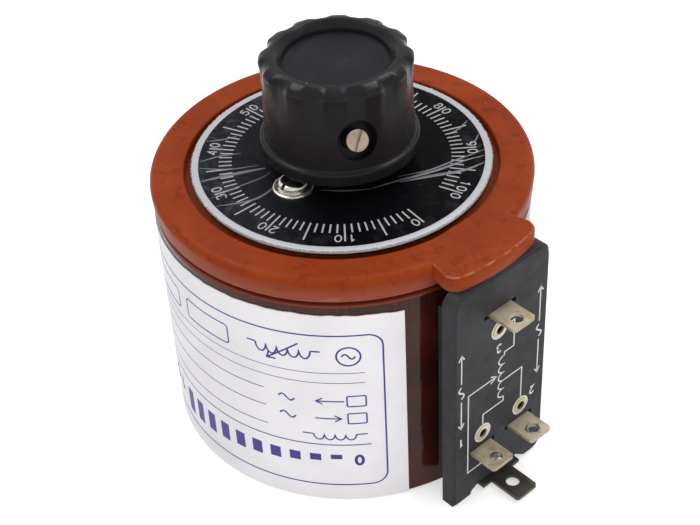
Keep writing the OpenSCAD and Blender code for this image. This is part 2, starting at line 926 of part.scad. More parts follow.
// A straight lead from the winding to the back of a terminal's foot
module lead(y, z) {
    start = sqrt(pow(wind_r + fit, 2) - pow(abs(y) - lead_r, 2));
    translate([0, y, z])
        rod_x(lead_r, start, foot_x);
}

module winding_leads() {
    lead_y = low_blade_y + blade_w / 2 - lead_inset;
    color("#7c4a2c") {
        lead(-lead_y, low_blade_z + lead_rise);
        lead(lead_y, low_blade_z + lead_rise);
        lead(high_blade_y + blade_w / 2 + high_lead_side, high_blade_z - high_lead_drop);
    }
}

module spindle() {
    color("#b9bcc0")
        disc(spindle_d / 2, spindle_foot, spindle_top);
}

module thrust_washer() {
    color("#d8d2c0")
        ring(collar_r - washer_inset, spindle_d / 2 + washer_play, bush_top + contact, collar_z);
}

module spindle_collar() {
    color("#b58a4c")
        difference() {
            disc(collar_r, collar_z, collar_z + collar_h);
            disc(spindle_d / 2 + fit, collar_z - past, collar_z + collar_h + past);
            polar(0, rest_angle)
                translate([0, 0, collar_z + collar_h / 2])
                    rod_x(min(collar_hole_r, collar_h / 2 - collar_hole_wall), 0, collar_r + past);
        }
}

// Places its children on the slanting axis of the knob's set screw, with X pointing out of the hole;
// x = 0 is where that axis meets the knob's side
module on_screw_axis() {
    rotate([0, 0, knob_screw_angle])
        translate([knob_body_d / 2, 0, knob_z + knob_screw_rise])
            rotate([0, -knob_screw_slant, 0])
                children();
}

// The knob's ribs: upright rods outside the lip, rounded together at their upper ends
module knob_rib_set() {
    rib_high = knob_top - rib_drop;
    rib_low = knob_z + knob_flange_h - join;
    crest_r = (knob_body_d - knob_taper) / 2 - knob_shoulder;
    intersection() {
        union() {
            for (i = [0 : knob_ribs - 1])
                polar(rib_reach - rib_r, rib_phase + i * 360 / knob_ribs)
                    disc(rib_r, rib_low, rib_high + past);
        }
        difference() {
            rotate_extrude()
                rounded_profile(rib_reach, rib_low, rib_high, rib_shoulder);
            disc(crest_r, rib_low - past, rib_high + past);
        }
    }
}

// The knob's outline without its ribs: flange, body and the rounded lip round the inlay
module knob_profile() {
    flange_r = knob_flange_d / 2;
    body_r = knob_body_d / 2;
    top_r = (knob_body_d - knob_taper) / 2;
    crest_r = top_r - knob_shoulder;
    flange_top = knob_z + knob_flange_h;
    shoulder_z = knob_top - knob_shoulder;
    cap_r = cap_d / 2 + fit;
    difference() {
        union() {
            polygon([
                [0, knob_z], [flange_r - knob_edge, knob_z], [flange_r, knob_z + knob_edge],
                [flange_r, flange_top - knob_fall], [flange_r - knob_edge, flange_top - knob_edge],
                [body_r + knob_edge, flange_top - knob_edge / 2], [body_r, flange_top],
                [top_r, shoulder_z], [crest_r, shoulder_z], [crest_r, knob_top], [0, knob_top]]);
            translate([crest_r, shoulder_z])
                intersection() {
                    circle(knob_shoulder);
                    square(knob_shoulder);
                }
        }
        translate([cap_r, knob_top])
            mirror([0, 1])
                corner_cut(min(knob_lip, crest_r - cap_r));
    }
}

module control_knob() {
    flange_r = knob_flange_d / 2;
    body_r = knob_body_d / 2;
    pocket_z = knob_top - cap_sink - cap_t;
    cap_r = cap_d / 2 + fit;
    color("#242426")
        difference() {
            union() {
                rotate_extrude()
                    knob_profile();
                knob_rib_set();
            }
            disc(cap_r, pocket_z, knob_top + past);
            ring(
                body_r - knob_relief_wall, insert_r + knob_relief_hub,
                knob_z - past, knob_z + knob_relief_h);
            disc(insert_r + fit, knob_z - past, knob_z + insert_h + fit);
            on_screw_axis()
                rod_x(screw_well_d / 2, -well_depth, well_past);
            on_screw_axis()
                rod_x(knob_screw_d / 2 + fit, -screw_reach, past);
            rotate([0, 0, rest_angle])
                translate([flange_r - index_depth, -index_w / 2, knob_z - past])
                    cube([index_depth + past, index_w, knob_flange_h + 2 * past]);
        }
}

module knob_insert() {
    color("#b58a4c")
        difference() {
            disc(insert_r, knob_z, knob_z + insert_h);
            disc(spindle_d / 2 + fit, knob_z - past, spindle_top + fit);
            on_screw_axis()
                rod_x(knob_screw_d / 2 + fit, -screw_reach - past, past);
        }
}

module knob_set_screw() {
    color("#c9a592")
        on_screw_axis()
            difference() {
                rod_x(knob_screw_d / 2, -screw_reach + screw_tip_gap, -screw_sink);
                rotate([screw_slot_turn, 0, 0])
                    translate([-screw_sink - slot_depth, -screw_slot_w / 2, -knob_screw_d])
                        cube([slot_depth + past, screw_slot_w, 2 * knob_screw_d]);
            }
}

module knob_inlay() {
    low = knob_top - cap_sink - cap_t;
    color("#2c2c34")
        disc(cap_d / 2, low, low + cap_t);
}

// The arm's outline: a hub, a tapered beam and a square end that carries the brush holder
module arm_outline() {
    tip_w = brush_l + 2 * holder_wall;
    tip_r = brush_r + brush_w / 2 + holder_wall;
    circle(hub_d / 2);
    polygon([
        [0, -arm_root_w / 2], [brush_r - brush_w / 2 - holder_wall, -tip_w / 2], [tip_r, -tip_w / 2],
        [tip_r, tip_w / 2], [brush_r - brush_w / 2 - holder_wall, tip_w / 2], [0, arm_root_w / 2]]);
}

module brush_arm() {
    finger_w = 2 * stop_r * sin(finger_half);
    color("#3a3a3c")
        rotate([0, 0, rest_angle])
            difference() {
                union() {
                    translate([0, 0, arm_z])
                        linear_extrude(arm_t)
                            arm_outline();
                    disc(hub_d / 2, arm_z, hub_top);
                    translate([stop_r - finger_len / 2, -finger_w / 2, arm_top - join])
                        cube([finger_len, finger_w, hub_top - arm_top + join]);
                }
                disc(spindle_d / 2 + fit, arm_z - past, hub_top + past);
                translate([0, 0, arm_screw_z])
                    rotate([0, 0, 180])
                        rod_x(arm_screw_r + fit, 0, hub_d);
            }
}

module arm_set_screw() {
    color("#c8c8c4")
        rotate([0, 0, rest_angle + 180])
            translate([0, 0, arm_screw_z])
                difference() {
                    rod_x(arm_screw_r, spindle_d / 2 + fit, hub_d / 2);
                    translate([hub_d / 2 - arm_slot_depth, -arm_slot_w / 2, -2 * arm_screw_r])
                        cube([arm_slot_depth + past, arm_slot_w, 4 * arm_screw_r]);
                }
}

module collector_disc() {
    color("#c2a24e")
        ring(collector_d / 2, spindle_d / 2 + fit, collector_z, arm_z);
}

module brush_holder() {
    color("#c2a24e")
        rotate([0, 0, rest_angle])
            translate([brush_r, 0, arm_top])
                linear_extrude(holder_h)
                    difference() {
                        square([brush_w + 2 * holder_wall, brush_l + 2 * holder_wall], center = true);
                        square([brush_w + 2 * brush_play, brush_l + 2 * brush_play], center = true);
                    }
}

module carbon_brush() {
    color("#2b2b2d")
        rotate([0, 0, rest_angle])
            translate([brush_r - brush_w / 2, -brush_l / 2, brush_z])
                cube([brush_w, brush_l, brush_h]);
}

// A coil spring as one tube swept along its helix
module brush_spring() {
    coil_r = brush_w / 2 - spring_wire - spring_gap;
    coils = 3;
    sides = 8;
    steps = 14 * coils;
    wire_r = spring_wire / 2;
    low = arm_top + wire_r + spring_clear;
    rise = brush_z - arm_top - spring_wire - 2 * spring_clear;
    points = [
        for (i = [0 : steps], k = [0 : sides - 1])
            let (turn = 360 * coils * i / steps, a = 360 * k / sides, r = coil_r + wire_r * cos(a))
            [r * cos(turn), r * sin(turn), low + rise * i / steps + wire_r * sin(a)]
    ];
    skins = [
        for (i = [0 : steps - 1], k = [0 : sides - 1])
            let (next = (k + 1) % sides)
            [i * sides + k, i * sides + next, (i + 1) * sides + next, (i + 1) * sides + k]
    ];
    ends = [
        [for (k = [sides - 1 : -1 : 0]) k],
        [for (k = [0 : sides - 1]) steps * sides + k]
    ];
    color("#c0c0bc")
        rotate([0, 0, rest_angle])
            translate([brush_r, 0, 0])
                polyhedron(points, concat(skins, ends));
}

base_moulding();
outer_wrap();
paper_label();
toroid_core();
core_end_caps();
winding();
seating_pad();
clamp_fibre_ring();
core_clamp();
clamp_screws();
upper_bush();
lower_bush();
stop_pin();
dial_inserts();
dial_disc();
dial_cup_washers();
dial_screws();
terminal_board();
left_blade();
right_blade();
upper_blade();
takeoff_leaf();
eyelets();
winding_leads();
spindle();
thrust_washer();
spindle_collar();
control_knob();
knob_insert();
knob_set_screw();
knob_inlay();
brush_arm();
arm_set_screw();
collector_disc();
brush_holder();
carbon_brush();
brush_spring();
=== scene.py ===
"""Looks of a variable autotransformer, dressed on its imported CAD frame.

Points are in metres and share the frame's axes: the spindle is Z, the part stands at z = 0 and the terminal
board faces +X. Sizes of the sub-assemblies are in millimetres and degrees, and prints are drawn in millimetres
on the flat of the piece that carries them.
"""

import logging
from abc import ABC, abstractmethod
from dataclasses import dataclass, field
from enum import Enum
from math import asin, cos, pi, radians, sin, tan

import bpy
import numpy as np
from mathutils import Matrix, Vector


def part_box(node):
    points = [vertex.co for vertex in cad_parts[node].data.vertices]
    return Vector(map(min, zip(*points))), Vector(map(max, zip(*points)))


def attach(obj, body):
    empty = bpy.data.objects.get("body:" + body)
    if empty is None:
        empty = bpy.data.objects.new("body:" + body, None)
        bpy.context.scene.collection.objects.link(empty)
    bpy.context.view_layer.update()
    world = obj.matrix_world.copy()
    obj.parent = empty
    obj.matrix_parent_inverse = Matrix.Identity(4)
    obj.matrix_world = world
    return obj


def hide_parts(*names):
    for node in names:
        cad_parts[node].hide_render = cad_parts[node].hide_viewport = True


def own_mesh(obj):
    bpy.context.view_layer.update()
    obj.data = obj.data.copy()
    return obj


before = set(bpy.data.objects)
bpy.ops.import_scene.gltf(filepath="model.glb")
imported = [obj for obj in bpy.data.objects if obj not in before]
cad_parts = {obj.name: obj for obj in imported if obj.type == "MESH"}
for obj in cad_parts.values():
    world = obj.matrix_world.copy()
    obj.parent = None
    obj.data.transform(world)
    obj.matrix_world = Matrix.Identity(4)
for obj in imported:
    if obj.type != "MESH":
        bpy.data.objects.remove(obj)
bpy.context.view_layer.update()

LOG = logging.getLogger("autotransformer")
MM = 0.001
SHARP_ANGLE = 35
Pair = tuple[float, float]
Triple = tuple[float, float, float]
Colour = Triple
Socket = bpy.types.NodeSocket


# Mesh tools


def grid_faces(rows: int, columns: int, close_rows: bool = False, close_columns: bool = False) -> np.ndarray:
    """Joins the points of a grid, numbered row by row, into quads.

    Args:
        rows: Number of rows of points.
        columns: Number of points in a row.
        close_rows: Whether the last row joins the first.
        close_columns: Whether the last column joins the first.

    Returns:
        The quads' point numbers, one quad a line.
    """
    i, j = np.meshgrid(
        np.arange(rows if close_rows else rows - 1),
        np.arange(columns if close_columns else columns - 1),
        indexing="ij",
    )
    i, j = i.ravel(), j.ravel()
    down, right = (i + 1) % rows, (j + 1) % columns
    return np.stack([i * columns + j, i * columns + right, down * columns + right, down * columns + j], axis=1)


def signed_volume(points: np.ndarray, quads: np.ndarray) -> float:
    """Adds up the tetrahedra from the origin to each half quad: below zero means inside out."""
    a, b, c, d = (points[quads[:, k]] for k in range(4))
    return float(np.sum(a * np.cross(b, c)) + np.sum(a * np.cross(c, d))) / 6


def shade(mesh: bpy.types.Mesh) -> None:
    """Shades a mesh smooth, apart from edges that bend by more than the sharp angle."""
    mesh.polygons.foreach_set("use_smooth", np.ones(len(mesh.polygons), dtype=bool))
    mesh.set_sharp_from_angle(angle=radians(SHARP_ANGLE))


class Skin:
    """Collects closed surfaces and turns them into one mesh object."""

    def __init__(self) -> None:
        """Starts with nothing."""
        self.points: list[np.ndarray] = []
        self.corners: list[np.ndarray] = []
        self.sides: list[np.ndarray] = []
        self.count = 0

    def add(self, points: np.ndarray, quads: np.ndarray, caps: tuple[np.ndarray, ...] = ()) -> None:
        """Takes one closed surface, turned so that its faces point outwards.

        Args:
            points: The points, one a line, in metres.
            quads: The quads' point numbers.
            caps: The point numbers of each face with more corners, turned like the quads.
        """
        way = -1 if signed_volume(points - points.mean(axis=0), quads) < 0 else 1
        self.points.append(points)
        self.corners += [quads[:, ::way].ravel() + self.count] + [cap[::way] + self.count for cap in caps]
        self.sides += [np.full(len(quads), 4)] + [np.array([len(cap)]) for cap in caps]
        self.count += len(points)

    def tube(self, rings: np.ndarray, joined: bool = False) -> None:
        """Takes a surface of rings, one after the other.

        Args:
            rings: The points, ring by ring, in millimetres.
            joined: Whether the last ring joins the first. Otherwise one face closes each end.
        """
        rows, columns = rings.shape[:2]
        ends = () if joined else (np.arange(columns)[::-1], np.arange((rows - 1) * columns, rows * columns))
        self.add(rings.reshape(-1, 3) * MM, grid_faces(rows, columns, joined, close_columns=True), ends)

    def make(self, name: str) -> bpy.types.Object:
        """Writes the mesh and links its object.

        Args:
            name: The object's name.

        Returns:
            The new object, at the origin.
        """
        points = np.concatenate(self.points)
        corners = np.concatenate(self.corners)
        sides = np.concatenate(self.sides)
        mesh = bpy.data.meshes.new(name)
        mesh.vertices.add(len(points))
        mesh.vertices.foreach_set("co", points.astype(np.float32).ravel())
        mesh.loops.add(len(corners))
        mesh.loops.foreach_set("vertex_index", corners.astype(np.int32))
        mesh.polygons.add(len(sides))
        mesh.polygons.foreach_set("loop_start", (np.cumsum(sides) - sides).astype(np.int32))
        mesh.update(calc_edges=True)
        mesh.validate()
        shade(mesh)
        piece = bpy.data.objects.new(name, mesh)
        bpy.context.scene.collection.objects.link(piece)
        return piece


def cut(piece: bpy.types.Object, tools: list[bpy.types.Object]) -> None:
    """Takes the tools' solids away from a piece and removes the tools.

    Args:
        piece: The piece that is cut.
        tools: Closed solids, taken away one after the other.
    """
    for tool in tools:
        step = piece.modifiers.new(tool.name, "BOOLEAN")
        step.operation = "DIFFERENCE"
        step.solver = "EXACT"
        step.object = tool
    ready = piece.evaluated_get(bpy.context.evaluated_depsgraph_get())
    mesh = bpy.data.meshes.new_from_object(ready)
    piece.modifiers.clear()
    piece.data = mesh
    shade(mesh)
    for tool in tools:
        bpy.data.objects.remove(tool)


# Paths on a flat


def unit(ways: np.ndarray) -> np.ndarray:
    """Directions divided by their length, so that each has length one."""
    return ways / np.maximum(np.linalg.norm(ways, axis=1, keepdims=True), 1e-9)


def left_of(ways: np.ndarray) -> np.ndarray:
    """Directions on a flat, each turned left by a quarter turn."""
    return np.stack([-ways[:, 1], ways[:, 0]], axis=1)


def arc(centre: Pair, radii: Pair, start: float, end: float, steps: int = 16) -> np.ndarray:
    """Points along an ellipse: centre plus radii times cosine and sine of angles from start to end, in degrees."""
    angle = np.radians(np.linspace(start, end, steps + 1))
    return np.stack([centre[0] + radii[0] * np.cos(angle), centre[1] + radii[1] * np.sin(angle)], axis=1)


def loop(centre: Pair, radii: Pair, steps: int) -> np.ndarray:
    """Points round a whole ellipse, the last one short of the first."""
    return arc(centre, radii, 0, 360, steps)[:-1]


def line(*corners: Pair, step: float = 1.0) -> np.ndarray:
    """Points along straight stretches from corner to corner, evenly spaced on each.

    Args:
        corners: The corners it passes.
        step: Largest distance between two points.

    Returns:
        The points, corners among them.
    """
    corner = np.array(corners, dtype=float)
    stretches = []
    for low, high in zip(corner[:-1], corner[1:]):
        count = max(1, int(np.ceil(np.linalg.norm(high - low) / step)))
        stretches.append(low + (high - low) * np.linspace(0, 1, count + 1)[:-1, None])
    return np.concatenate(stretches + [corner[-1:]])


def frame_path(low: Pair, high: Pair, radius: float) -> np.ndarray:
    """Points round a box whose corners are quarter circles, the last one short of the first.

    Args:
        low: Lower left corner of the box.
        high: Upper right corner.
        radius: Radius of the corners.

    Returns:
        The points.
    """
    right, top, left, foot = high[0] - radius, high[1] - radius, low[0] + radius, low[1] + radius
    middles = ((right, top), (left, top), (left, foot), (right, foot))
    corners = [arc(middle, (radius, radius), 90 * k, 90 * (k + 1), 8) for k, middle in enumerate(middles)]
    return line(*np.concatenate(corners + [corners[0][:1]]))[:-1]


def coil_path(start: Pair, pitch: float, loops: int, rise: float) -> np.ndarray:
    """Points along the loops of a coil's sign: half ellipses side by side.

    Args:
        start: Where the first loop starts.
        pitch: Width of a loop.
        loops: Number of loops.
        rise: Height of a loop.

    Returns:
        The points.
    """
    return np.concatenate([
        arc((start[0] + (k + 0.5) * pitch, start[1]), (pitch / 2, rise), 180, 0, 12)[(1 if k else 0):]
        for k in range(loops)
    ])


def wave_path(middle: Pair, width: float, height: float) -> np.ndarray:
    """Points along one sine wave about a middle."""
    t = np.linspace(-0.5, 0.5, 25)
    return np.stack([middle[0] + width * t, middle[1] + height / 2 * np.sin(-2 * pi * t)], axis=1)


def bend(points: list[Pair], step: float = 0.4) -> np.ndarray:
    """A smooth way through points, a Catmull-Rom spline: each stretch is the cubic that leaves and reaches its
    ends along the line between their neighbours.

    Args:
        points: The points it passes.
        step: Distance between two points of the way.

    Returns:
        The points of the way.
    """
    p = np.array(points, dtype=float)
    p = np.concatenate([2 * p[:1] - p[1:2], p, 2 * p[-1:] - p[-2:-1]])
    stretches = []
    for a, b, c, d in zip(p[:-3], p[1:-2], p[2:-1], p[3:]):
        count = max(2, int(np.ceil(np.linalg.norm(c - b) / step)))
        t = np.linspace(0, 1, count, endpoint=False)[:, None]
        curve = 2 * b + (c - a) * t + (2 * a - 5 * b + 4 * c - d) * t**2 + (3 * b - a - 3 * c + d) * t**3
        stretches.append(curve / 2)
    return np.concatenate(stretches + [p[-2:-1]])


def numeral_paths(value: int) -> list[tuple[np.ndarray, bool]]:
    """The strokes of a numeral in a unit square, from arcs and straight stretches.

    Args:
        value: The numeral, from 0 to 9.

    Returns:
        Each stroke's points, and whether it is closed.
    """
    two = [arc((0.5, 0.7), (0.48, 0.3), 165, -35), line((0.02, 0), (1, 0), step=0.3)]
    five = [line((0.92, 1), (0.16, 1), (0.08, 0.54), step=0.3), arc((0.46, 0.32), (0.54, 0.32), 125, -150)]
    six_tail = arc((0.88, 0.33), (0.88, 0.67), 180, 105)
    six_bowl = loop((0.5, 0.3), (0.5, 0.3), 28)
    shapes = {
        0: [(loop((0.5, 0.5), (0.5, 0.5), 32), True)],
        1: [(line((0.18, 0.8), (0.55, 1), (0.55, 0), step=0.3), False)],
        2: [(np.concatenate(two), False)],
        3: [
            (arc((0.46, 0.75), (0.46, 0.25), 150, -90), False),
            (arc((0.46, 0.27), (0.54, 0.27), 90, -150), False),
        ],
        4: [(line((0.74, 0), (0.74, 1), (0, 0.28), (1, 0.28), step=0.3), False)],
        5: [(np.concatenate(five), False)],
        6: [(six_bowl, True), (six_tail, False)],
        7: [(line((0, 1), (1, 1), (0.38, 0), step=0.3), False)],
        8: [(loop((0.5, 0.76), (0.42, 0.24), 24), True), (loop((0.5, 0.26), (0.5, 0.26), 24), True)],
        9: [(1 - six_bowl, True), (1 - six_tail, False)],
    }
    return shapes[value]


# Flats that carry print


class Flat(ABC):
    """A face of the part that print lies on: u and v run along it in millimetres and h stands out of it."""

    @abstractmethod
    def place(self, u: np.ndarray, v: np.ndarray, h: np.ndarray) -> np.ndarray:
        """Turns places on the flat into points of the part, in metres."""


@dataclass(frozen=True)
class DialFlat(Flat):
    """The dial's upper face: u goes along X and v along Y."""

    top: float

    def place(self, u: np.ndarray, v: np.ndarray, h: np.ndarray) -> np.ndarray:
        """Lays u and v level at the dial's height."""
        return np.stack([u * MM, v * MM, self.top + h * MM], axis=-1)


@dataclass(frozen=True)
class RoundFlat(Flat):
    """A cylinder about the spindle: u goes round it from a middle angle and v goes up."""

    radius: float
    middle: float

    def place(self, u: np.ndarray, v: np.ndarray, h: np.ndarray) -> np.ndarray:
        """Bends u round the cylinder: the angle is u over the radius."""
        angle = self.middle + u * MM / self.radius
        reach = self.radius + h * MM
        return np.stack([reach * np.cos(angle), reach * np.sin(angle), v * MM], axis=-1)


@dataclass(frozen=True)
class BoardFlat(Flat):
    """The terminal board's front: u goes along Y and v goes up."""

    front: float

    def place(self, u: np.ndarray, v: np.ndarray, h: np.ndarray) -> np.ndarray:
        """Stands u and v upright at the board's front."""
        return np.stack([self.front + h * MM, u * MM, v * MM], axis=-1)


@dataclass
class Pen:
    """Draws strokes of ink as thin closed bars on a flat."""

    flat: Flat
    ink: float = 0.025
    sink: float = 0.02
    least_mitre: float = 0.5
    ridge_end: float = 0.25
    numeral_gap: float = 1.6
    skin: Skin = field(default_factory=Skin)

    def stroke(self, path: np.ndarray, width: float, closed: bool = False) -> None:
        """Carries a flat box profile along a path; at each point it lies across the path's mean direction.

        Args:
            path: Points of the path on the flat, in millimetres.
            width: Width of the stroke.
            closed: Whether the path's end joins its start.
        """
        if closed:
            ahead = np.roll(path, -1, axis=0) - path
            behind = path - np.roll(path, 1, axis=0)
        else:
            step = np.diff(path, axis=0)
            ahead = np.concatenate([step, step[-1:]])
            behind = np.concatenate([step[:1], step])
        ahead = unit(ahead)
        along = unit(ahead + unit(behind))
        mitre = np.clip(np.sum(along * ahead, axis=1, keepdims=True), self.least_mitre, 1)
        across = left_of(along) * width / 2 / mitre
        low, high = path - across, path + across
        height = np.broadcast_to(np.array([self.ink, self.ink, -self.sink, -self.sink]), (len(path), 4))
        self._bar(np.stack([low, high, high, low], axis=1), height, closed)

    def ridge(self, path: np.ndarray, width: float, height: float) -> None:
        """Carries a roof profile along a path: its width and height rise and fall as the sine of the way along.

        Args:
            path: Points of the path on the flat, in millimetres.
            width: Width at the middle of the path.
            height: Height at the middle of the path.
        """
        rows = len(path)
        swell = self.ridge_end + (1 - self.ridge_end) * np.sin(np.linspace(0, pi, rows))[:, None]
        across = left_of(unit(np.gradient(path, axis=0))) * swell * width / 2
        zero = np.zeros((rows, 1))
        tall = np.concatenate([zero, swell * height, zero, zero - self.sink], axis=1)
        self._bar(np.stack([path - across, path, path + across, path], axis=1), tall)

    def _bar(self, corners: np.ndarray, height: np.ndarray, closed: bool = False) -> None:
        """Joins rows of four corners into a closed bar.

        Args:
            corners: Places of the corners on the flat, row by row.
            height: Heights of the corners over the flat.
            closed: Whether the last row joins the first. Otherwise one face closes each end.
        """
        rows = len(corners)
        points = self.flat.place(corners[..., 0], corners[..., 1], height).reshape(-1, 3)
        quads = grid_faces(rows, 4, close_rows=closed, close_columns=True)
        if not closed:
            quads = np.concatenate([quads, np.array([[3, 2, 1, 0], 4 * (rows - 1) + np.arange(4)])])
        self.skin.add(points, quads)

    def ring(self, centre: Pair, inner: float, outer: float, steps: int = 48) -> None:
        """Draws a flat ring round a centre."""
        middle = (inner + outer) / 2
        self.stroke(loop(centre, (middle, middle), steps), outer - inner, closed=True)

    def digits(self, text: str, at: Pair, size: Pair, turn: float, weight: float) -> None:
        """Writes numerals side by side, with the middle of the row at a place.

        Args:
            text: The numerals.
            at: Middle of the row.
            size: Width and height of a numeral.
            turn: Angle of the row in degrees.
            weight: Width of the strokes.
        """
        width, height = size
        pitch = width + self.numeral_gap * weight
        ahead = np.array([cos(radians(turn)), sin(radians(turn))])
        upward = np.array([-ahead[1], ahead[0]])
        for place, numeral in enumerate(text):
            middle = (place - (len(text) - 1) / 2) * pitch
            for path, closed in numeral_paths(int(numeral)):
                x = (path[:, :1] - 0.5) * (width - weight) + middle
                y = (path[:, 1:] - 0.5) * (height - weight)
                self.stroke(np.array(at) + x * ahead + y * upward, weight, closed)


@dataclass
class LabelPen(Pen):
    """Prints the label head down, from places as it is read: p from the frame's left and q from its foot."""

    ink: float = 0.02
    foot: float = 49.0
    hair: float = 0.16
    rule: float = 0.22
    sign: float = 0.34
    bold: float = 0.4
    numeral_shape: float = 0.66

    def draw(self, path: np.ndarray, weight: float, closed: bool = False) -> None:
        """Draws a stroke along a path as it is read."""
        self.stroke(np.array([0, self.foot]) - path, weight, closed)

    def number(self, text: str, at: Pair, height: float, weight: float) -> None:
        """Writes a number with its middle at a place."""
        self.digits(text, (-at[0], self.foot - at[1]), (height * self.numeral_shape, height), 180, weight)

    def coil(self, start: Pair, lead: float, pitch: float, loops: int, rise: float, weight: float) -> None:
        """Draws a coil's sign with a straight lead at each end.

        Args:
            start: Where the first lead starts.
            lead: Length of a lead.
            pitch: Width of a loop.
            loops: Number of loops.
            rise: Height of a loop.
            weight: Width of the strokes.
        """
        first, q = start[0] + lead, start[1]
        last = first + pitch * loops
        self.draw(line(start, (first, q)), weight)
        self.draw(coil_path((first, q), pitch, loops, rise), weight)
        self.draw(line((last, q), (last + lead, q)), weight)


# Finishes


def seen_rays(tree: bpy.types.NodeTree) -> Socket:
    """One for rays that show the surroundings themselves: to the camera, in gloss and through glass.

    Args:
        tree: The node tree that asks.

    Returns:
        The largest of the three.
    """
    path = tree.nodes.new("ShaderNodeLightPath")
    seen = path.outputs["Is Camera Ray"]
    for ray in ("Is Glossy Ray", "Is Transmission Ray"):
        either = tree.nodes.new("ShaderNodeMath")
        either.operation = "MAXIMUM"
        tree.links.new(seen, either.inputs[0])
        tree.links.new(path.outputs[ray], either.inputs[1])
        seen = either.outputs[0]
    return seen


class Shader:
    """A material's node tree, written a few words to a node."""

    even: Pair = (0.3, 0.7)

    def __init__(self, name: str) -> None:
        """Makes an empty material with its main shader.

        Args:
            name: The material's name.
        """
        self.material = bpy.data.materials.new(name)
        self.material.use_nodes = True
        self.tree = self.material.node_tree
        self.main = self.tree.nodes["Principled BSDF"]
        self.place = self.tree.nodes.new("ShaderNodeTexCoord").outputs["Object"]

    def set(self, **values: float | Colour) -> None:
        """Sets the main shader's own sockets; an underscore in a name stands for a space."""
        for name, value in values.items():
            socket = self.main.inputs[name.replace("_", " ")]
            socket.default_value = (*value, 1) if isinstance(value, tuple) else value

    def link(self, source: Socket, name: str) -> None:
        """Feeds one of the main shader's sockets."""
        self.tree.links.new(source, self.main.inputs[name])

    def node(self, kind: str, inputs: dict[int | str, Socket | float | tuple], **settings: object) -> bpy.types.Node:
        """Adds a node.

        Args:
            kind: The node type's name after ShaderNode.
            inputs: What feeds each input: a socket or a fixed value.
            settings: The node's own settings.

        Returns:
            The node.
        """
        node = self.tree.nodes.new("ShaderNode" + kind)
        for name, value in settings.items():
            setattr(node, name, value)
        for name, value in inputs.items():
            if isinstance(value, bpy.types.NodeSocket):
                self.tree.links.new(value, node.inputs[name])
            else:
                node.inputs[name].default_value = value
        return node

    def stretched(self, scale: Triple) -> Socket:
        """The object's coordinates, multiplied along each axis."""
        return self.node("Mapping", {"Vector": self.place, "Scale": scale}).outputs[0]

    def noise(self, size: float, detail: float = 3, vector: Socket | None = None, twist: float = 0) -> Socket:
        """Soft random noise whose waves are about a size in millimetres."""
        inputs = {"Vector": vector or self.place, "Scale": 1 / (size * MM), "Detail": detail, "Distortion": twist}
        return self.node("TexNoise", inputs).outputs["Fac"]

    def spots(self, size: float) -> Socket:
        """Distance to the nearest of scattered points about a size in millimetres apart, in shares of that size."""
        return self.node("TexVoronoi", {"Vector": self.place, "Scale": 1 / (size * MM)}).outputs["Distance"]

    def math(self, operation: str, a: Socket | float, b: Socket | float = 0.0) -> Socket:
        """One sum of two numbers."""
        return self.node("Math", {0: a, 1: b}, operation=operation).outputs[0]

    def times(self, a: Socket | float, b: Socket | float) -> Socket:
        """The product of two numbers."""
        return self.math("MULTIPLY", a, b)

    def span(self, value: Socket, low: float, high: float, to_low: float = 0, to_high: float = 1) -> Socket:
        """Maps a stretch of a value smoothly onto another, and holds it outside."""
        inputs = {"Value": value, "From Min": low, "From Max": high, "To Min": to_low, "To Max": to_high}
        return self.node("MapRange", inputs, interpolation_type="SMOOTHSTEP").outputs[0]

    def patches(self, size: float, detail: float, edges: Pair, levels: Pair = (0, 1), twist: float = 0) -> Socket:
        """Soft random patches of about a size: noise whose stretch between two edges goes from level to level."""
        return self.span(self.noise(size, detail, twist=twist), *edges, *levels)

    def flecks(self, gap: float, reach: Pair, size: float, edges: Pair) -> Socket:
        """Round spots about a gap apart that fade over a reach, kept where patches of a size are high."""
        near = self.span(self.spots(gap), *reach, 1, 0)
        return self.times(near, self.patches(size, 2, edges))

    def gloss(self, size: float, detail: float, rough: Pair) -> None:
        """Lets the roughness wander between two values in patches of about a size."""
        self.link(self.patches(size, detail, self.even, rough), "Roughness")

    def radius(self) -> Socket:
        """Distance from the spindle in metres."""
        level = self.node("VectorMath", {0: self.place, 1: (1, 1, 0)}, operation="MULTIPLY").outputs[0]
        return self.node("VectorMath", {0: level}, operation="LENGTH").outputs["Value"]

    def axis(self, name: str) -> Socket:
        """One of the object's coordinates in metres."""
        return self.node("SeparateXYZ", {0: self.place}).outputs[name]

    def below(self, low: float, high: float, level: float = 1) -> Socket:
        """A level under a height in metres, and nothing over a second one."""
        return self.span(self.axis("Z"), low, high, level, 0)

    def along(self, way: Pair) -> Socket:
        """Distance from the spindle in a level direction, in metres."""
        x, y = (self.times(self.axis(axis), part) for axis, part in zip("XY", way))
        return self.math("ADD", x, y)

    def band(self, value: Socket, low: float, high: float, soft: float) -> Socket:
        """One inside a stretch of a value and nothing outside, with soft ends."""
        rise = self.span(value, low - soft, low + soft)
        return self.times(rise, self.span(value, high - soft, high + soft, 1, 0))

    def mix(self, share: Socket, low: Socket | Colour, high: Socket | Colour) -> Socket:
        """A colour between two."""
        low, high = ((*c, 1) if isinstance(c, tuple) else c for c in (low, high))
        return self.node("Mix", {"Factor": share, 6: low, 7: high}, data_type="RGBA").outputs[2]

    def bump(self, height: Socket, depth: float, strength: float = 1) -> None:
        """Roughens the surface by a height of so many millimetres."""
        node = self.node("Bump", {"Height": height, "Strength": strength, "Distance": depth * MM})
        self.link(node.outputs[0], "Normal")


class Finish(ABC):
    """A finish that can be made into a material."""

    @abstractmethod
    def make(self) -> bpy.types.Material:
        """Builds the material."""


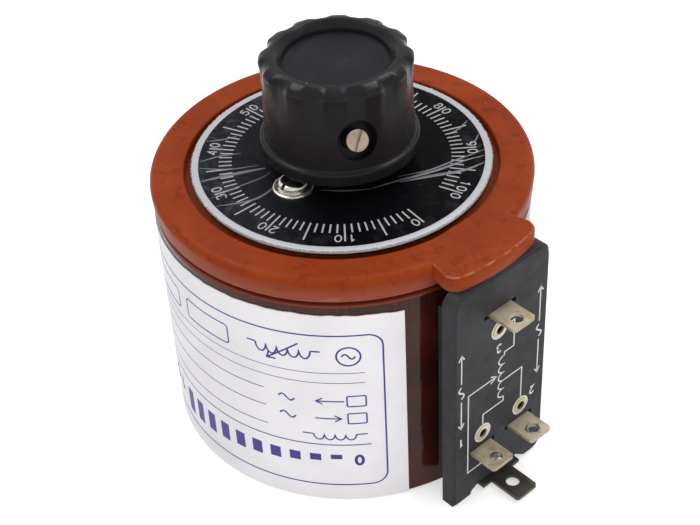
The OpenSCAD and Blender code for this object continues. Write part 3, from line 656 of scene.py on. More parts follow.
@dataclass(frozen=True)
class Moulding(Finish):
    """Moulded plastic: a colour that clouds softly, a fine skin and pale flecks."""

    name: str
    colour: Colour
    cloud: Colour
    fleck: Colour
    rough: Pair
    grain: float = 0.4
    grain_depth: float = 0.012
    fleck_share: float = 0.06
    shine: float = 0.5

    def make(self) -> bpy.types.Material:
        """Clouds the colour, scatters flecks and varies the gloss.

        Returns:
            The material.
        """
        s = Shader(self.name)
        base = s.mix(s.patches(9, 4, (0.35, 0.7)), self.colour, self.cloud)
        kept = (1 - self.fleck_share * 5, 1 - self.fleck_share * 4)
        s.link(s.mix(s.flecks(1.6, (0.05, 0.11), 2.3, kept), base, self.fleck), "Base Color")
        s.gloss(3, 5, self.rough)
        s.set(Specular_IOR_Level=self.shine)
        s.bump(s.noise(self.grain, 4), self.grain_depth)
        return s.material


@dataclass(frozen=True)
class Metal(Finish):
    """Plated or bare metal with fine scratches along one axis. What lies behind a hollow's plane is in shade."""

    name: str
    colour: Colour
    stain: Colour
    rough: Pair
    lay: Triple = (1, 1, 1)
    scratch: float = 0.15
    metallic: float = 1.0
    hollow: float = 0.0
    hollow_blend: float = 0.0004
    shade: Colour = (0.045, 0.03, 0.012)

    def make(self) -> bpy.types.Material:
        """Stains the colour in patches, darkens the hollow and scratches the gloss.

        Returns:
            The material.
        """
        s = Shader(self.name)
        base = s.mix(s.patches(2.6, 5, (0.42, 0.68), twist=0.6), self.colour, self.stain)
        if self.hollow:
            deep = s.span(s.axis("X"), self.hollow - self.hollow_blend, self.hollow, 1, 0)
            base = s.mix(deep, base, self.shade)
        s.link(base, "Base Color")
        fine = s.noise(self.scratch, 3, s.stretched(self.lay))
        s.link(s.span(fine, *s.even, *self.rough), "Roughness")
        s.set(Metallic=self.metallic)
        s.bump(fine, 0.008, 0.5)
        return s.material


@dataclass(frozen=True)
class Ink(Finish):
    """Print, and the film folds' grey that is partly a painted highlight: a flat colour, worn thin in tiny places."""

    name: str
    colour: Colour
    worn: Colour
    rough: float

    def make(self) -> bpy.types.Material:
        """Lets the worn colour through where fine noise is high.

        Returns:
            The material.
        """
        s = Shader(self.name)
        s.link(s.mix(s.patches(0.5, 4, (0.58, 0.75)), self.colour, self.worn), "Base Color")
        s.set(Roughness=self.rough)
        return s.material


@dataclass(frozen=True)
class BaseSkin(Finish):
    """The base's red-brown moulding, dull and scraped down its side and scuffed along its edges."""

    name: str = "base_skin"
    colour: Colour = (0.245, 0.035, 0.0066)
    cloud: Colour = (0.29, 0.0435, 0.0082)
    fleck: Colour = (0.6, 0.35, 0.24)
    scuff: Colour = (0.45, 0.2, 0.11)
    blotch: Colour = (0.17, 0.0205, 0.0045)
    dull: Colour = (0.3, 0.082, 0.05)
    foot: Pair = (0.0577, 0.0585)
    dull_side: Pair = (0.0585, 0.0628)
    scraped: Pair = (0.0582, 0.0602)
    rough: Pair = (0.3, 0.44)
    shine: float = 0.05

    def make(self) -> bpy.types.Material:
        """Clouds and blotches the colour, scatters a few flecks, dulls the side and wears the edges.

        Returns:
            The material.
        """
        s = Shader(self.name)
        base = s.mix(s.patches(11, 4, (0.35, 0.68)), self.colour, self.cloud)
        base = s.mix(s.patches(2.6, 3, (0.5, 0.78), (0, 0.75), twist=0.5), base, self.blotch)
        base = s.mix(s.flecks(2.1, (0.03, 0.08), 4.3, (0.64, 0.68)), base, self.fleck)
        base = s.mix(s.below(*self.dull_side, 0.65), base, self.dull)
        scrape = s.span(s.noise(0.45, 4, s.stretched((0.1, 0.1, 1))), 0.54, 0.74, 0, 0.6)
        base = s.mix(s.times(scrape, s.below(*self.scraped)), base, self.scuff)
        lug = s.node("Attribute", {}, attribute_name="worn").outputs["Fac"]
        edges = s.math("MAXIMUM", s.below(*self.foot), lug)
        base = s.mix(s.times(edges, s.patches(1.6, 5, (0.42, 0.62), (0, 0.7))), base, self.scuff)
        s.link(base, "Base Color")
        s.gloss(4, 5, self.rough)
        s.set(Specular_IOR_Level=self.shine)
        s.bump(s.noise(0.7, 5), 0.01)
        return s.material


@dataclass(frozen=True)
class Varnish(Finish):
    """The wrap's dark brown varnish, wavy up its height, with faint streaks under the base and a painted highlight
    along its upper lip.
    """

    name: str = "wrap_varnish"
    colour: Colour = (0.027, 0.0064, 0.0048)
    light: Colour = (0.066, 0.0125, 0.009)
    streak: Colour = (0.09, 0.03, 0.022)
    # Painted highlight: the lip colour stands in for the light that catches the wrap's upper edge.
    lip: Colour = (0.2, 0.036, 0.016)
    streak_from: float = 0.051
    lip_from: float = 0.0561
    lip_blend: float = 0.0003
    rough: Pair = (0.07, 0.13)
    shine: float = 0.2

    def make(self) -> bpy.types.Material:
        """Clouds the brown, streaks it below the upper lip, paints a highlight along that lip and waves the gloss.

        Returns:
            The material.
        """
        s = Shader(self.name)
        base = s.mix(s.patches(14, 3, (0.35, 0.7)), self.colour, self.light)
        fine = s.noise(0.45, 2, s.stretched((1, 1, 0.06)))
        upper = s.span(s.axis("Z"), self.streak_from, self.lip_from)
        base = s.mix(s.times(s.span(fine, 0.54, 0.72, 0, 0.6), upper), base, self.streak)
        # Painted highlight: the band above the lip height takes the lighter lip colour.
        top = s.span(s.axis("Z"), self.lip_from, self.lip_from + self.lip_blend)
        s.link(s.mix(top, base, self.lip), "Base Color")
        s.gloss(5, 4, self.rough)
        s.set(Specular_IOR_Level=self.shine)
        wave = s.noise(7, 2, s.stretched((1, 1, 0.5)), twist=0.8)
        s.bump(s.math("ADD", wave, s.times(fine, 0.03)), 0.25, 0.6)
        return s.material


@dataclass(frozen=True)
class Paper(Finish):
    """Coated label paper with a faint blue cast."""

    name: str = "label_paper"
    colour: Colour = (0.86, 0.835, 0.86)
    shade: Colour = (0.815, 0.79, 0.82)
    rough: Pair = (0.42, 0.55)
    shine: float = 0.2

    def make(self) -> bpy.types.Material:
        """Clouds the white a little and ripples the sheet.

        Returns:
            The material.
        """
        s = Shader(self.name)
        s.link(s.mix(s.patches(12, 3, (0.35, 0.7)), self.colour, self.shade), "Base Color")
        s.gloss(6, 3, self.rough)
        s.set(Specular_IOR_Level=self.shine)
        s.bump(s.noise(5, 3), 0.03, 0.5)
        return s.material


@dataclass(frozen=True)
class DialFace(Finish):
    """The dial's black under its clear film: a dull hazy veil, partly real and partly painted reflection, stronger on
    one side and weaker on the side that faces the camera, a painted sheen on that one side, and tiny specks.
    """

    name: str = "dial_face"
    colour: Colour = (0.003, 0.003, 0.0038)
    # The hazy colour is partly real haze and partly painted reflection; the next colour is a painted sheen.
    haze: Colour = (0.055, 0.057, 0.067)
    sheen: Colour = (0.015, 0.0156, 0.019)
    speck: Colour = (0.2, 0.2, 0.22)
    hazy_side: Pair = (-0.57, -0.82)
    clear_side: Pair = (0.76, -0.65)
    rough: Pair = (0.22, 0.42)
    shine: float = 0.02

    def make(self) -> bpy.types.Material:
        """Hazes the outer part in patches, partly as painted reflection, paints a sheen on one side, scatters specks
        and ripples the film.

        Returns:
            The material.
        """
        s = Shader(self.name)
        outer = s.span(s.radius(), 0.021, 0.031, 0.05, 1)
        # Painted reflection: the hazy veil grows on one side and fades on the side that faces the camera, and that
        # one side also takes a painted sheen.
        left = s.span(s.along(self.hazy_side), 0.004, 0.022)
        clear = s.span(s.along(self.clear_side), 0.008, 0.02, 1, 0.2)
        side = s.math("MAXIMUM", s.times(s.patches(26, 1, (0.42, 0.58), (0.15, 1)), clear), left)
        haze = s.times(s.patches(3.6, 5, (0.46, 0.7), twist=0.7), s.times(outer, side))
        base = s.mix(haze, s.mix(left, self.colour, self.sheen), self.haze)
        s.link(s.mix(s.flecks(1.5, (0.03, 0.07), 2.8, (0.56, 0.62)), base, self.speck), "Base Color")
        s.gloss(2.2, 5, self.rough)
        s.set(Specular_IOR_Level=self.shine)
        s.bump(s.noise(2.4, 3, twist=0.5), 0.03, 0.6)
        return s.material


@dataclass(frozen=True)
class Wire(Finish):
    """Enamelled wire, bared to bright copper where the brush runs."""

    name: str = "winding_wire"
    enamel: Colour = (0.20, 0.062, 0.022)
    cloud: Colour = (0.27, 0.095, 0.036)
    copper: Colour = (0.72, 0.33, 0.17)
    track: Pair = (0.0262, 0.0318)
    track_top: float = 0.0162
    track_blend: float = 0.0004
    rough: Pair = (0.22, 0.36)

    def make(self) -> bpy.types.Material:
        """Clouds the enamel and bares a band of the lower end face.

        Returns:
            The material.
        """
        s = Shader(self.name)
        band = s.band(s.radius(), *self.track, self.track_blend)
        bare = s.times(band, s.below(self.track_top, self.track_top + self.track_blend))
        enamel = s.mix(s.patches(3, 4, (0.35, 0.7)), self.enamel, self.cloud)
        s.link(s.mix(bare, enamel, self.copper), "Base Color")
        s.link(s.span(bare, 0, 1, 0.1, 1), "Metallic")
        s.gloss(0.4, 3, self.rough)
        s.bump(s.noise(0.25, 2, s.stretched((1, 1, 0.1))), 0.02, 0.5)
        return s.material


class Tone(Enum):
    """The named finishes of the part's pieces."""

    BASE = BaseSkin()
    WRAP = Varnish()
    PAPER = Paper()
    DIAL = DialFace()
    WIRE = Wire()
    KNOB = Moulding(
        "knob_black", (0.0102, 0.0093, 0.0106), (0.013, 0.0118, 0.0134), (0.3, 0.3, 0.3), (0.24, 0.3),
        grain=0.8, grain_depth=0.002, fleck_share=0.072, shine=0.12,
    )
    INLAY = Moulding(
        "inlay_black", (0.008, 0.0082, 0.013), (0.014, 0.0142, 0.02), (0.5, 0.5, 0.5), (0.3, 0.4),
        grain=0.5, grain_depth=0.006, fleck_share=0.08, shine=0.08,
    )
    BOARD = Moulding(
        "board_charcoal", (0.029, 0.028, 0.031), (0.039, 0.037, 0.04), (0.1, 0.095, 0.09), (0.4, 0.54),
        grain=0.5, grain_depth=0.02, fleck_share=0.05, shine=0.1,
    )
    ARM = Moulding("arm_charcoal", (0.020, 0.020, 0.022), (0.028, 0.028, 0.03), (0.09, 0.09, 0.09), (0.4, 0.55))
    FIBRE = Moulding(
        "pressed_fibre", (0.35, 0.235, 0.125), (0.28, 0.18, 0.09), (0.5, 0.38, 0.22), (0.7, 0.85),
        grain=0.3, grain_depth=0.05,
    )
    CORK = Moulding(
        "cork_pad", (0.33, 0.20, 0.095), (0.22, 0.12, 0.055), (0.12, 0.06, 0.03), (0.8, 0.95),
        grain=0.8, grain_depth=0.12,
    )
    CARBON = Moulding("carbon_block", (0.018, 0.018, 0.019), (0.03, 0.03, 0.032), (0.1, 0.1, 0.1), (0.35, 0.5))
    TIN = Metal("dull_tin", (0.44, 0.385, 0.285), (0.34, 0.265, 0.155), (0.4, 0.58), (0.2, 1, 1), metallic=0.4)
    # Partly real stain, partly painted shade: the leaf is darker than the blades' tin because it lies in shade under
    # the upper blade.
    LEAF = Metal("stained_shaded_leaf", (0.075, 0.066, 0.053), (0.05, 0.042, 0.028), (0.36, 0.52), (0.2, 1, 1), metallic=0.6)
    EYELET = Metal("eyelet_tin", (0.62, 0.57, 0.44), (0.5, 0.42, 0.25), (0.3, 0.45), metallic=0.5, hollow=0.0482)
    BRASS = Metal("eyelet_brass", (0.62, 0.47, 0.2), (0.5, 0.36, 0.14), (0.22, 0.36))
    BRONZE = Metal("turned_bronze", (0.5, 0.32, 0.13), (0.38, 0.23, 0.09), (0.25, 0.4), (1, 1, 0.1))
    ZINC = Metal("zinc_plate", (0.58, 0.59, 0.6), (0.48, 0.48, 0.47), (0.25, 0.42))
    NICKEL = Metal("nickel_plate", (0.69, 0.67, 0.63), (0.57, 0.54, 0.49), (0.2, 0.32))
    SCREW = Metal("set_screw_steel", (0.44, 0.36, 0.29), (0.33, 0.25, 0.19), (0.3, 0.42))
    STRIP = Metal("core_strip", (0.4, 0.4, 0.42), (0.3, 0.29, 0.28), (0.3, 0.45), (1, 1, 0.05))
    SOLDER = Metal("solder", (0.4, 0.385, 0.35), (0.09, 0.08, 0.065), (0.35, 0.55))
    DIAL_INK = Ink("dial_ink", (0.40, 0.405, 0.415), (0.3, 0.305, 0.315), 0.45)
    DIAL_RIM = Ink("dial_rim", (0.44, 0.447, 0.47), (0.35, 0.355, 0.37), 0.45)
    LABEL_INK = Ink("label_ink", (0.024, 0.013, 0.21), (0.034, 0.02, 0.24), 0.5)
    BOARD_INK = Ink("board_ink", (0.66, 0.65, 0.62), (0.5, 0.49, 0.46), 0.5)
    # Partly the creases' whitened plastic, partly a painted highlight: the grey stands in for the light that the
    # folds catch.
    FILM = Ink("film_crease_glint", (0.115, 0.12, 0.135), (0.19, 0.195, 0.21), 0.3)
    INDEX_INK = Ink("index_ink", (0.7, 0.7, 0.69), (0.55, 0.55, 0.54), 0.5)


class Finishes:
    """Makes each finish once and hands it out."""

    made: dict[Tone, bpy.types.Material] = {}

    @classmethod
    def get(cls, tone: Tone) -> bpy.types.Material:
        """The material of a tone."""
        if tone not in cls.made:
            cls.made[tone] = tone.value.make()
        return cls.made[tone]


def dress_nodes(tones: dict[str, Tone]) -> None:
    """Gives CAD nodes their finishes."""
    for name, tone in tones.items():
        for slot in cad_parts[name].material_slots:
            slot.material = Finishes.get(tone)


def add_piece(piece: bpy.types.Object, tone: Tone, body: str) -> bpy.types.Object:
    """Finishes a new piece and lets it ride on a body.

    Args:
        piece: The piece.
        tone: Its finish.
        body: The CAD body that carries it.

    Returns:
        The piece.
    """
    piece.data.materials.append(Finishes.get(tone))
    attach(piece, body)
    LOG.info("%s rides on %s with %d faces", piece.name, body, len(piece.data.polygons))
    return piece


# Sub-assemblies


class Assembly(ABC):
    """A group of pieces that are dressed together."""

    @abstractmethod
    def build(self) -> None:
        """Makes the new pieces and dresses the CAD nodes."""


@dataclass(frozen=True)
class Fold:
    """A fold in the dial's film: its width and height, and its way as readings and radii."""

    width: float
    height: float
    places: tuple[Pair, ...]


@dataclass
class Dial(Assembly):
    """The dial disc with its scale, bright rim and creased film."""

    zero_angle: float = -7.067
    unit_angle: float = -3.3541
    tick_inner: float = 23.75
    unit_outer: float = 26.55
    five_outer: float = 29.3
    tick_width: float = 0.36
    numeral_radius: float = 28.35
    numeral_size: Pair = (1.6, 2.35)
    numeral_weight: float = 0.31
    numeral_offset: float = 0.84
    numeral_pitch: float = 1.18
    rim_steps: int = 1080
    rim_seed: int = 7
    rim_inner: float = 31.0
    rim_outer: float = 32.52
    rim_waver: float = 0.05
    rim_rag: float = 0.22
    rim_drop: float = 0.55
    folds: tuple[Fold, ...] = (
        Fold(0.55, 0.07, ((16.7, 12.7), (9.4, 12.4), (2.6, 13.5))),
        Fold(0.9, 0.1, ((102.6, 15.9), (98.1, 20.5), (95.3, 26.6), (93.2, 30.8))),
        Fold(0.7, 0.1, ((2.6, 13.5), (102.6, 15.2), (99.2, 17.6), (95.8, 21.6), (93.0, 26.5), (91.8, 30.8))),
        Fold(0.45, 0.06, ((101.2, 14.4), (96.4, 19.6), (93.0, 24.5), (91.3, 28.8), (90.6, 30.8))),
        Fold(1.0, 0.09, ((33.9, 16.6), (33.6, 23.4), (33.2, 30.8))),
        Fold(0.4, 0.05, ((35.2, 18.0), (35.0, 24.4), (35.9, 30.8))),
        Fold(0.55, 0.07, ((29.0, 15.7), (26.4, 18.4), (26.0, 23.5), (27.8, 30.8))),
        Fold(0.35, 0.05, ((32.2, 15.8), (30.9, 18.2), (30.1, 24.6), (29.5, 30.8))),
        Fold(0.5, 0.05, ((39.2, 22.0), (38.4, 26.4), (37.2, 30.7))),
        Fold(0.45, 0.05, ((43.6, 24.8), (42.3, 27.4), (41.5, 30.7))),
        Fold(0.5, 0.05, ((86.0, 24.6), (85.4, 27.2), (84.1, 30.4))),
        Fold(0.4, 0.04, ((89.4, 27.6), (88.6, 29.4), (87.2, 30.8))),
    )

    def build(self) -> None:
        """Draws the scale and the rim and lays the film's creases."""
        dress_nodes({
            "dial_disc": Tone.DIAL, "dial_cup_washers": Tone.NICKEL, "dial_screws": Tone.NICKEL,
            "dial_inserts": Tone.BRONZE,
        })
        flat = DialFlat(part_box("dial_disc")[1].z)
        add_piece(self._scale(flat), Tone.DIAL_INK, "stator")
        add_piece(self._rim(flat), Tone.DIAL_RIM, "stator")
        add_piece(self._film(flat), Tone.FILM, "stator")

    def _angle(self, reading: float) -> float:
        """Angle round the spindle of a reading, in degrees."""
        return self.zero_angle + self.unit_angle * reading

    def _polar(self, reading: float, radius: float) -> Pair:
        """Place of a reading at a radius."""
        angle = radians(self._angle(reading))
        return radius * cos(angle), radius * sin(angle)

    def _scale(self, flat: Flat) -> bpy.types.Object:
        """Ticks from 0 to 100, longer at each five, and numerals on both sides of each tenth.

        Args:
            flat: The dial's face.

        Returns:
            The printed scale.
        """
        pen = Pen(flat)
        for reading in range(101):
            outer = self.unit_outer if reading % 5 else self.five_outer
            ends = (self._polar(reading, radius) for radius in (self.tick_inner, outer))
            pen.stroke(line(*ends, step=outer), self.tick_width)
        for reading in range(0, 101, 10):
            *before, after = str(reading)
            spots = [(reading + self.numeral_offset, after)]
            spots += [
                (reading - self.numeral_offset - self.numeral_pitch * k, numeral)
                for k, numeral in enumerate(reversed(before))
            ]
            for place, numeral in spots:
                at = self._polar(place, self.numeral_radius)
                pen.digits(numeral, at, self.numeral_size, self._angle(place) - 90, self.numeral_weight)
        return pen.skin.make("dial_scale")

    def _rim(self, flat: Flat) -> bpy.types.Object:
        """The dial's bright rim, a band bent over the disc's edge and ragged there with bits of torn film.

        The band's section of six corners is turned about the spindle. Its outer radius gains the fourth power of a
        seeded random number times the rag's size, and its inner radius loses the square of one times the waver.

        Args:
            flat: The dial's face.

        Returns:
            The rim.
        """
        chance = np.random.default_rng(self.rim_seed)
        turn = np.linspace(0, 2 * pi, self.rim_steps, endpoint=False)
        torn = self.rim_rag * chance.random(self.rim_steps) ** 4
        inner = self.rim_inner - self.rim_waver * chance.random(self.rim_steps) ** 2
        edge = np.full(self.rim_steps, self.rim_outer)
        # From the inner foot over the top and the torn edge down to the skirt
        reach = np.stack([inner, inner, edge - 0.15, edge + torn, edge + 0.03, edge - 0.04])
        height = np.array([-0.02, 0.04, 0.04, -0.06, -self.rim_drop, -self.rim_drop])[:, None] + 0 * reach
        points = flat.place(reach * np.cos(turn), reach * np.sin(turn), height).reshape(-1, 3)
        skin = Skin()
        skin.add(points, grid_faces(len(reach), self.rim_steps, close_rows=True, close_columns=True))
        return skin.make("dial_rim")

    def _film(self, flat: Flat) -> bpy.types.Object:
        """The folds of the clear film over the dial, whose grey is partly a painted highlight.

        Args:
            flat: The dial's face.

        Returns:
            The folds.
        """
        pen = Pen(flat)
        for fold in self.folds:
            pen.ridge(bend([self._polar(*place) for place in fold.places]), fold.width, fold.height)
        return pen.skin.make("dial_film_folds")


@dataclass
class Label(Assembly):
    """The paper label round the wrap.

    Its print is laid out as it is read: p from the frame's left side and q from its foot.
    """

    frame_side: float = -31.5
    frame_size: Pair = (106.4, 44.1)
    frame_corner: float = 3.3
    frame_line: float = 0.37
    divider: float = 31.6
    divider_line: float = 0.3
    bars: int = 10
    bar_first: Pair = (11, 34.6)
    bar_pitch: float = 4.6
    bar_height: float = 1.4
    bar_growth: float = 0.62
    bar_width: float = 2.5
    margin: float = 4.0
    fields: tuple[float, ...] = (28.0, 22.4, 17.3)
    rules: tuple[float, ...] = (13.2, 10.4)
    ports: tuple[tuple[float, bool], ...] = ((23.6, True), (18.5, False))
    barb: Pair = (1.4, 0.9)
    mains: Pair = (7.2, 5.7)
    boxes: tuple[Pair, ...] = ((34, 47), (50.5, 68))
    sheet_span: Pair = (-185.0, -25.0)
    sheet_heights: Pair = (0.4, 54.45)
    sheet_thick: float = 0.2
    sheet_steps: int = 640
    sheet_seed: int = 3
    sheet_droop: float = 0.8
    droop_span: float = 45.0
    sheet_rag: float = 0.16

    def build(self) -> None:
        """Prints the label and bends its sheet round the wrap."""
        outside = -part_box("paper_label")[0].y
        pen = LabelPen(RoundFlat(outside, radians(self.frame_side)))
        add_piece(self._print(pen), Tone.LABEL_INK, "stator")
        sheet = add_piece(self._sheet(outside), Tone.PAPER, "stator")
        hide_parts("paper_label")

    def _print(self, pen: LabelPen) -> bpy.types.Object:
        """A frame, a rising scale at its head, blank fields and rules, and plain circuit signs.

        Args:
            pen: The pen on the label.

        Returns:
            The print.
        """
        wide, left = self.frame_size[0], self.margin
        pen.draw(frame_path((0, 0), self.frame_size, self.frame_corner), self.frame_line, closed=True)
        pen.draw(line((self.frame_corner, self.divider), (wide - self.frame_corner, self.divider)), self.divider_line)
        for step in range(self.bars):
            p, q = self.bar_first[0] + self.bar_pitch * step, self.bar_first[1]
            pen.draw(line((p, q), (p, q + self.bar_height + self.bar_growth * step)), self.bar_width)
        pen.number("0", (6, 36.4), 3.4, 0.7)
        pen.number("100", (62, 36.8), 4.4, 0.85)
        for q in self.fields:
            pen.draw(line((26, q), (68, q)), pen.rule)
            pen.draw(line((74, q), (wide - left, q)), pen.rule)
        pen.coil((left, 28.4), lead=2.4, pitch=2.3, loops=4, rise=1.6, weight=pen.sign)
        for q, inward in self.ports:
            pen.draw(frame_path((left, q - 1.5), (left + 4, q + 1.5), 0.3), pen.sign, closed=True)
            tail, tip = (15, 9.4) if inward else (8.6, 14.6)
            back = tip + (self.barb[0] if inward else -self.barb[0])
            pen.draw(line((tail, q), (tip, q)), pen.sign)
            pen.draw(line((back, q + self.barb[1]), (tip, q), (back, q - self.barb[1])), pen.sign)
            pen.draw(wave_path((21, q), 3.6, 1.5), pen.bold)
        for q in self.rules:
            pen.draw(line((left, q), (wide - left, q)), pen.hair)
        pen.draw(loop(self.mains, (2.5, 2.5), 40), pen.bold, closed=True)
        pen.draw(wave_path(self.mains, 2.9, 1.3), pen.bold)
        pen.coil((13, 4.4), lead=2, pitch=2.4, loops=5, rise=2.2, weight=pen.bold)
        pen.draw(line((17.5, 2.6), (24.6, 8.0)), pen.bold)
        pen.draw(line((22.6, 7.9), (24.6, 8.0), (24.0, 6.1)), pen.bold)
        for start, end in self.boxes:
            pen.draw(frame_path((start, 3.2), (end, 8.3), 0.8), pen.sign, closed=True)
        return pen.skin.make("label_print")

    def _sheet(self, outside: float) -> bpy.types.Object:
        """The label's sheet, bent round the wrap, with a torn upper edge.

        The upper edge falls towards the end by the third power of the last stretch, and wavers by three sines
        and a little seeded noise.

        Args:
            outside: Radius of the sheet's outside in metres.

        Returns:
            The sheet.
        """
        columns = self.sheet_steps
        angle = np.linspace(*self.sheet_span, columns)
        near_end = np.clip((angle - self.sheet_span[1] + self.droop_span) / self.droop_span, 0, 1)
        waver = np.sin(angle / 1.9) + 0.8 * np.sin(angle / 0.83 + 1) + 0.5 * np.sin(angle / 4.7 + 2)
        torn = np.random.default_rng(self.sheet_seed).random(columns)
        upper = self.sheet_heights[1] - self.sheet_droop * near_end**3 + self.sheet_rag * (0.4 * waver + 0.5 * torn)
        inside = outside - self.sheet_thick * MM
        reach = np.array([inside, outside, outside, inside])[:, None]
        height = np.stack([np.full(columns, self.sheet_heights[0])] * 2 + [upper] * 2) * MM
        turn = np.radians(angle)
        points = np.stack([reach * np.cos(turn), reach * np.sin(turn), height], axis=-1).reshape(-1, 3)
        ends = np.array([[0, 1, 2, 3], [3, 2, 1, 0]]) * columns + np.array([[0], [columns - 1]])
        skin = Skin()
        skin.add(points, np.concatenate([grid_faces(4, columns, close_rows=True), ends]))
        return skin.make("label_sheet")


@dataclass
class Body(Assembly):
    """The base with its lug, the wrap, and the core and winding inside."""

    lug_reach: float = 47.62
    lug_half: float = 12.32
    lug_root: Pair = (37.6, 7.9)
    lug_corner: float = 3.02
    lug_edge: float = 0.5
    lug_rim: float = 1.0
    lug_posts: int = 25
    lug_steps: int = 240
    lug_edge_steps: int = 7
    lug_worn_from: float = 40.5
    lug_wear: float = 0.75
    lug_heights: Pair = (59.84, 63.32)

    def build(self) -> None:
        """Sharpens the lug and dresses the nodes."""
        add_piece(self._lug(), Tone.BASE, "stator")
        dress_nodes({
            "base_moulding": Tone.BASE, "outer_wrap": Tone.WRAP,
            "toroid_core": Tone.STRIP, "core_end_caps": Tone.FIBRE, "winding": Tone.WIRE,
            "winding_leads": Tone.WIRE, "seating_pad": Tone.CORK, "clamp_fibre_ring": Tone.FIBRE,
            "core_clamp": Tone.ZINC, "clamp_screws": Tone.ZINC, "stop_pin": Tone.ZINC,
            "upper_bush": Tone.BRONZE, "lower_bush": Tone.BRONZE,
        })

    def _lug(self) -> bpy.types.Object:
        """The lug's crisp skin over the base.

        Its outline is the line at one distance outside a ring of posts: each outward direction takes the post that
        reaches furthest that way. The distance follows a quarter circle over the upper edge, whose upper half is
        marked as worn.

        Returns:
            The skin.
        """
        reach = self.lug_reach - self.lug_corner
        half = asin((self.lug_half - self.lug_corner) / reach)
        ends = np.linspace(-half, half, self.lug_posts)
        front = reach * np.stack([np.cos(ends), np.sin(ends)], axis=1)
        side = self.lug_root[1]
        back = (self.lug_root[0] ** 2 - side**2) ** 0.5
        posts = np.concatenate([front, [[back, side], [back, -side]]])
        way = np.linspace(0, 2 * pi, self.lug_steps, endpoint=False)
        out = np.stack([np.cos(way), np.sin(way)], axis=1)
        post = posts[np.argmax(out @ posts.T, axis=1)]
        low, high = self.lug_heights
        middle = (self.lug_corner - self.lug_edge, high - self.lug_edge)
        edge = arc(middle, (self.lug_edge,) * 2, 0, 90, self.lug_edge_steps)
        section = np.concatenate([[[self.lug_corner, low]], edge, [[self.lug_corner - self.lug_rim, high]]])
        flat = post[None] + section[:, :1, None] * out[None]
        height = np.broadcast_to(section[:, 1:, None], (*flat.shape[:2], 1))
        skin = Skin()
        skin.tube(np.concatenate([flat, height], axis=2))
        piece = skin.make("lug_skin")
        worn = np.zeros(flat.shape[:2], dtype=np.float32)
        upper = slice(4, -2)
        worn[upper] = self.lug_wear * (np.hypot(flat[upper, :, 0], flat[upper, :, 1]) > self.lug_worn_from)
        piece.data.attributes.new("worn", "FLOAT", "POINT").data.foreach_set("value", worn.ravel())
        return piece


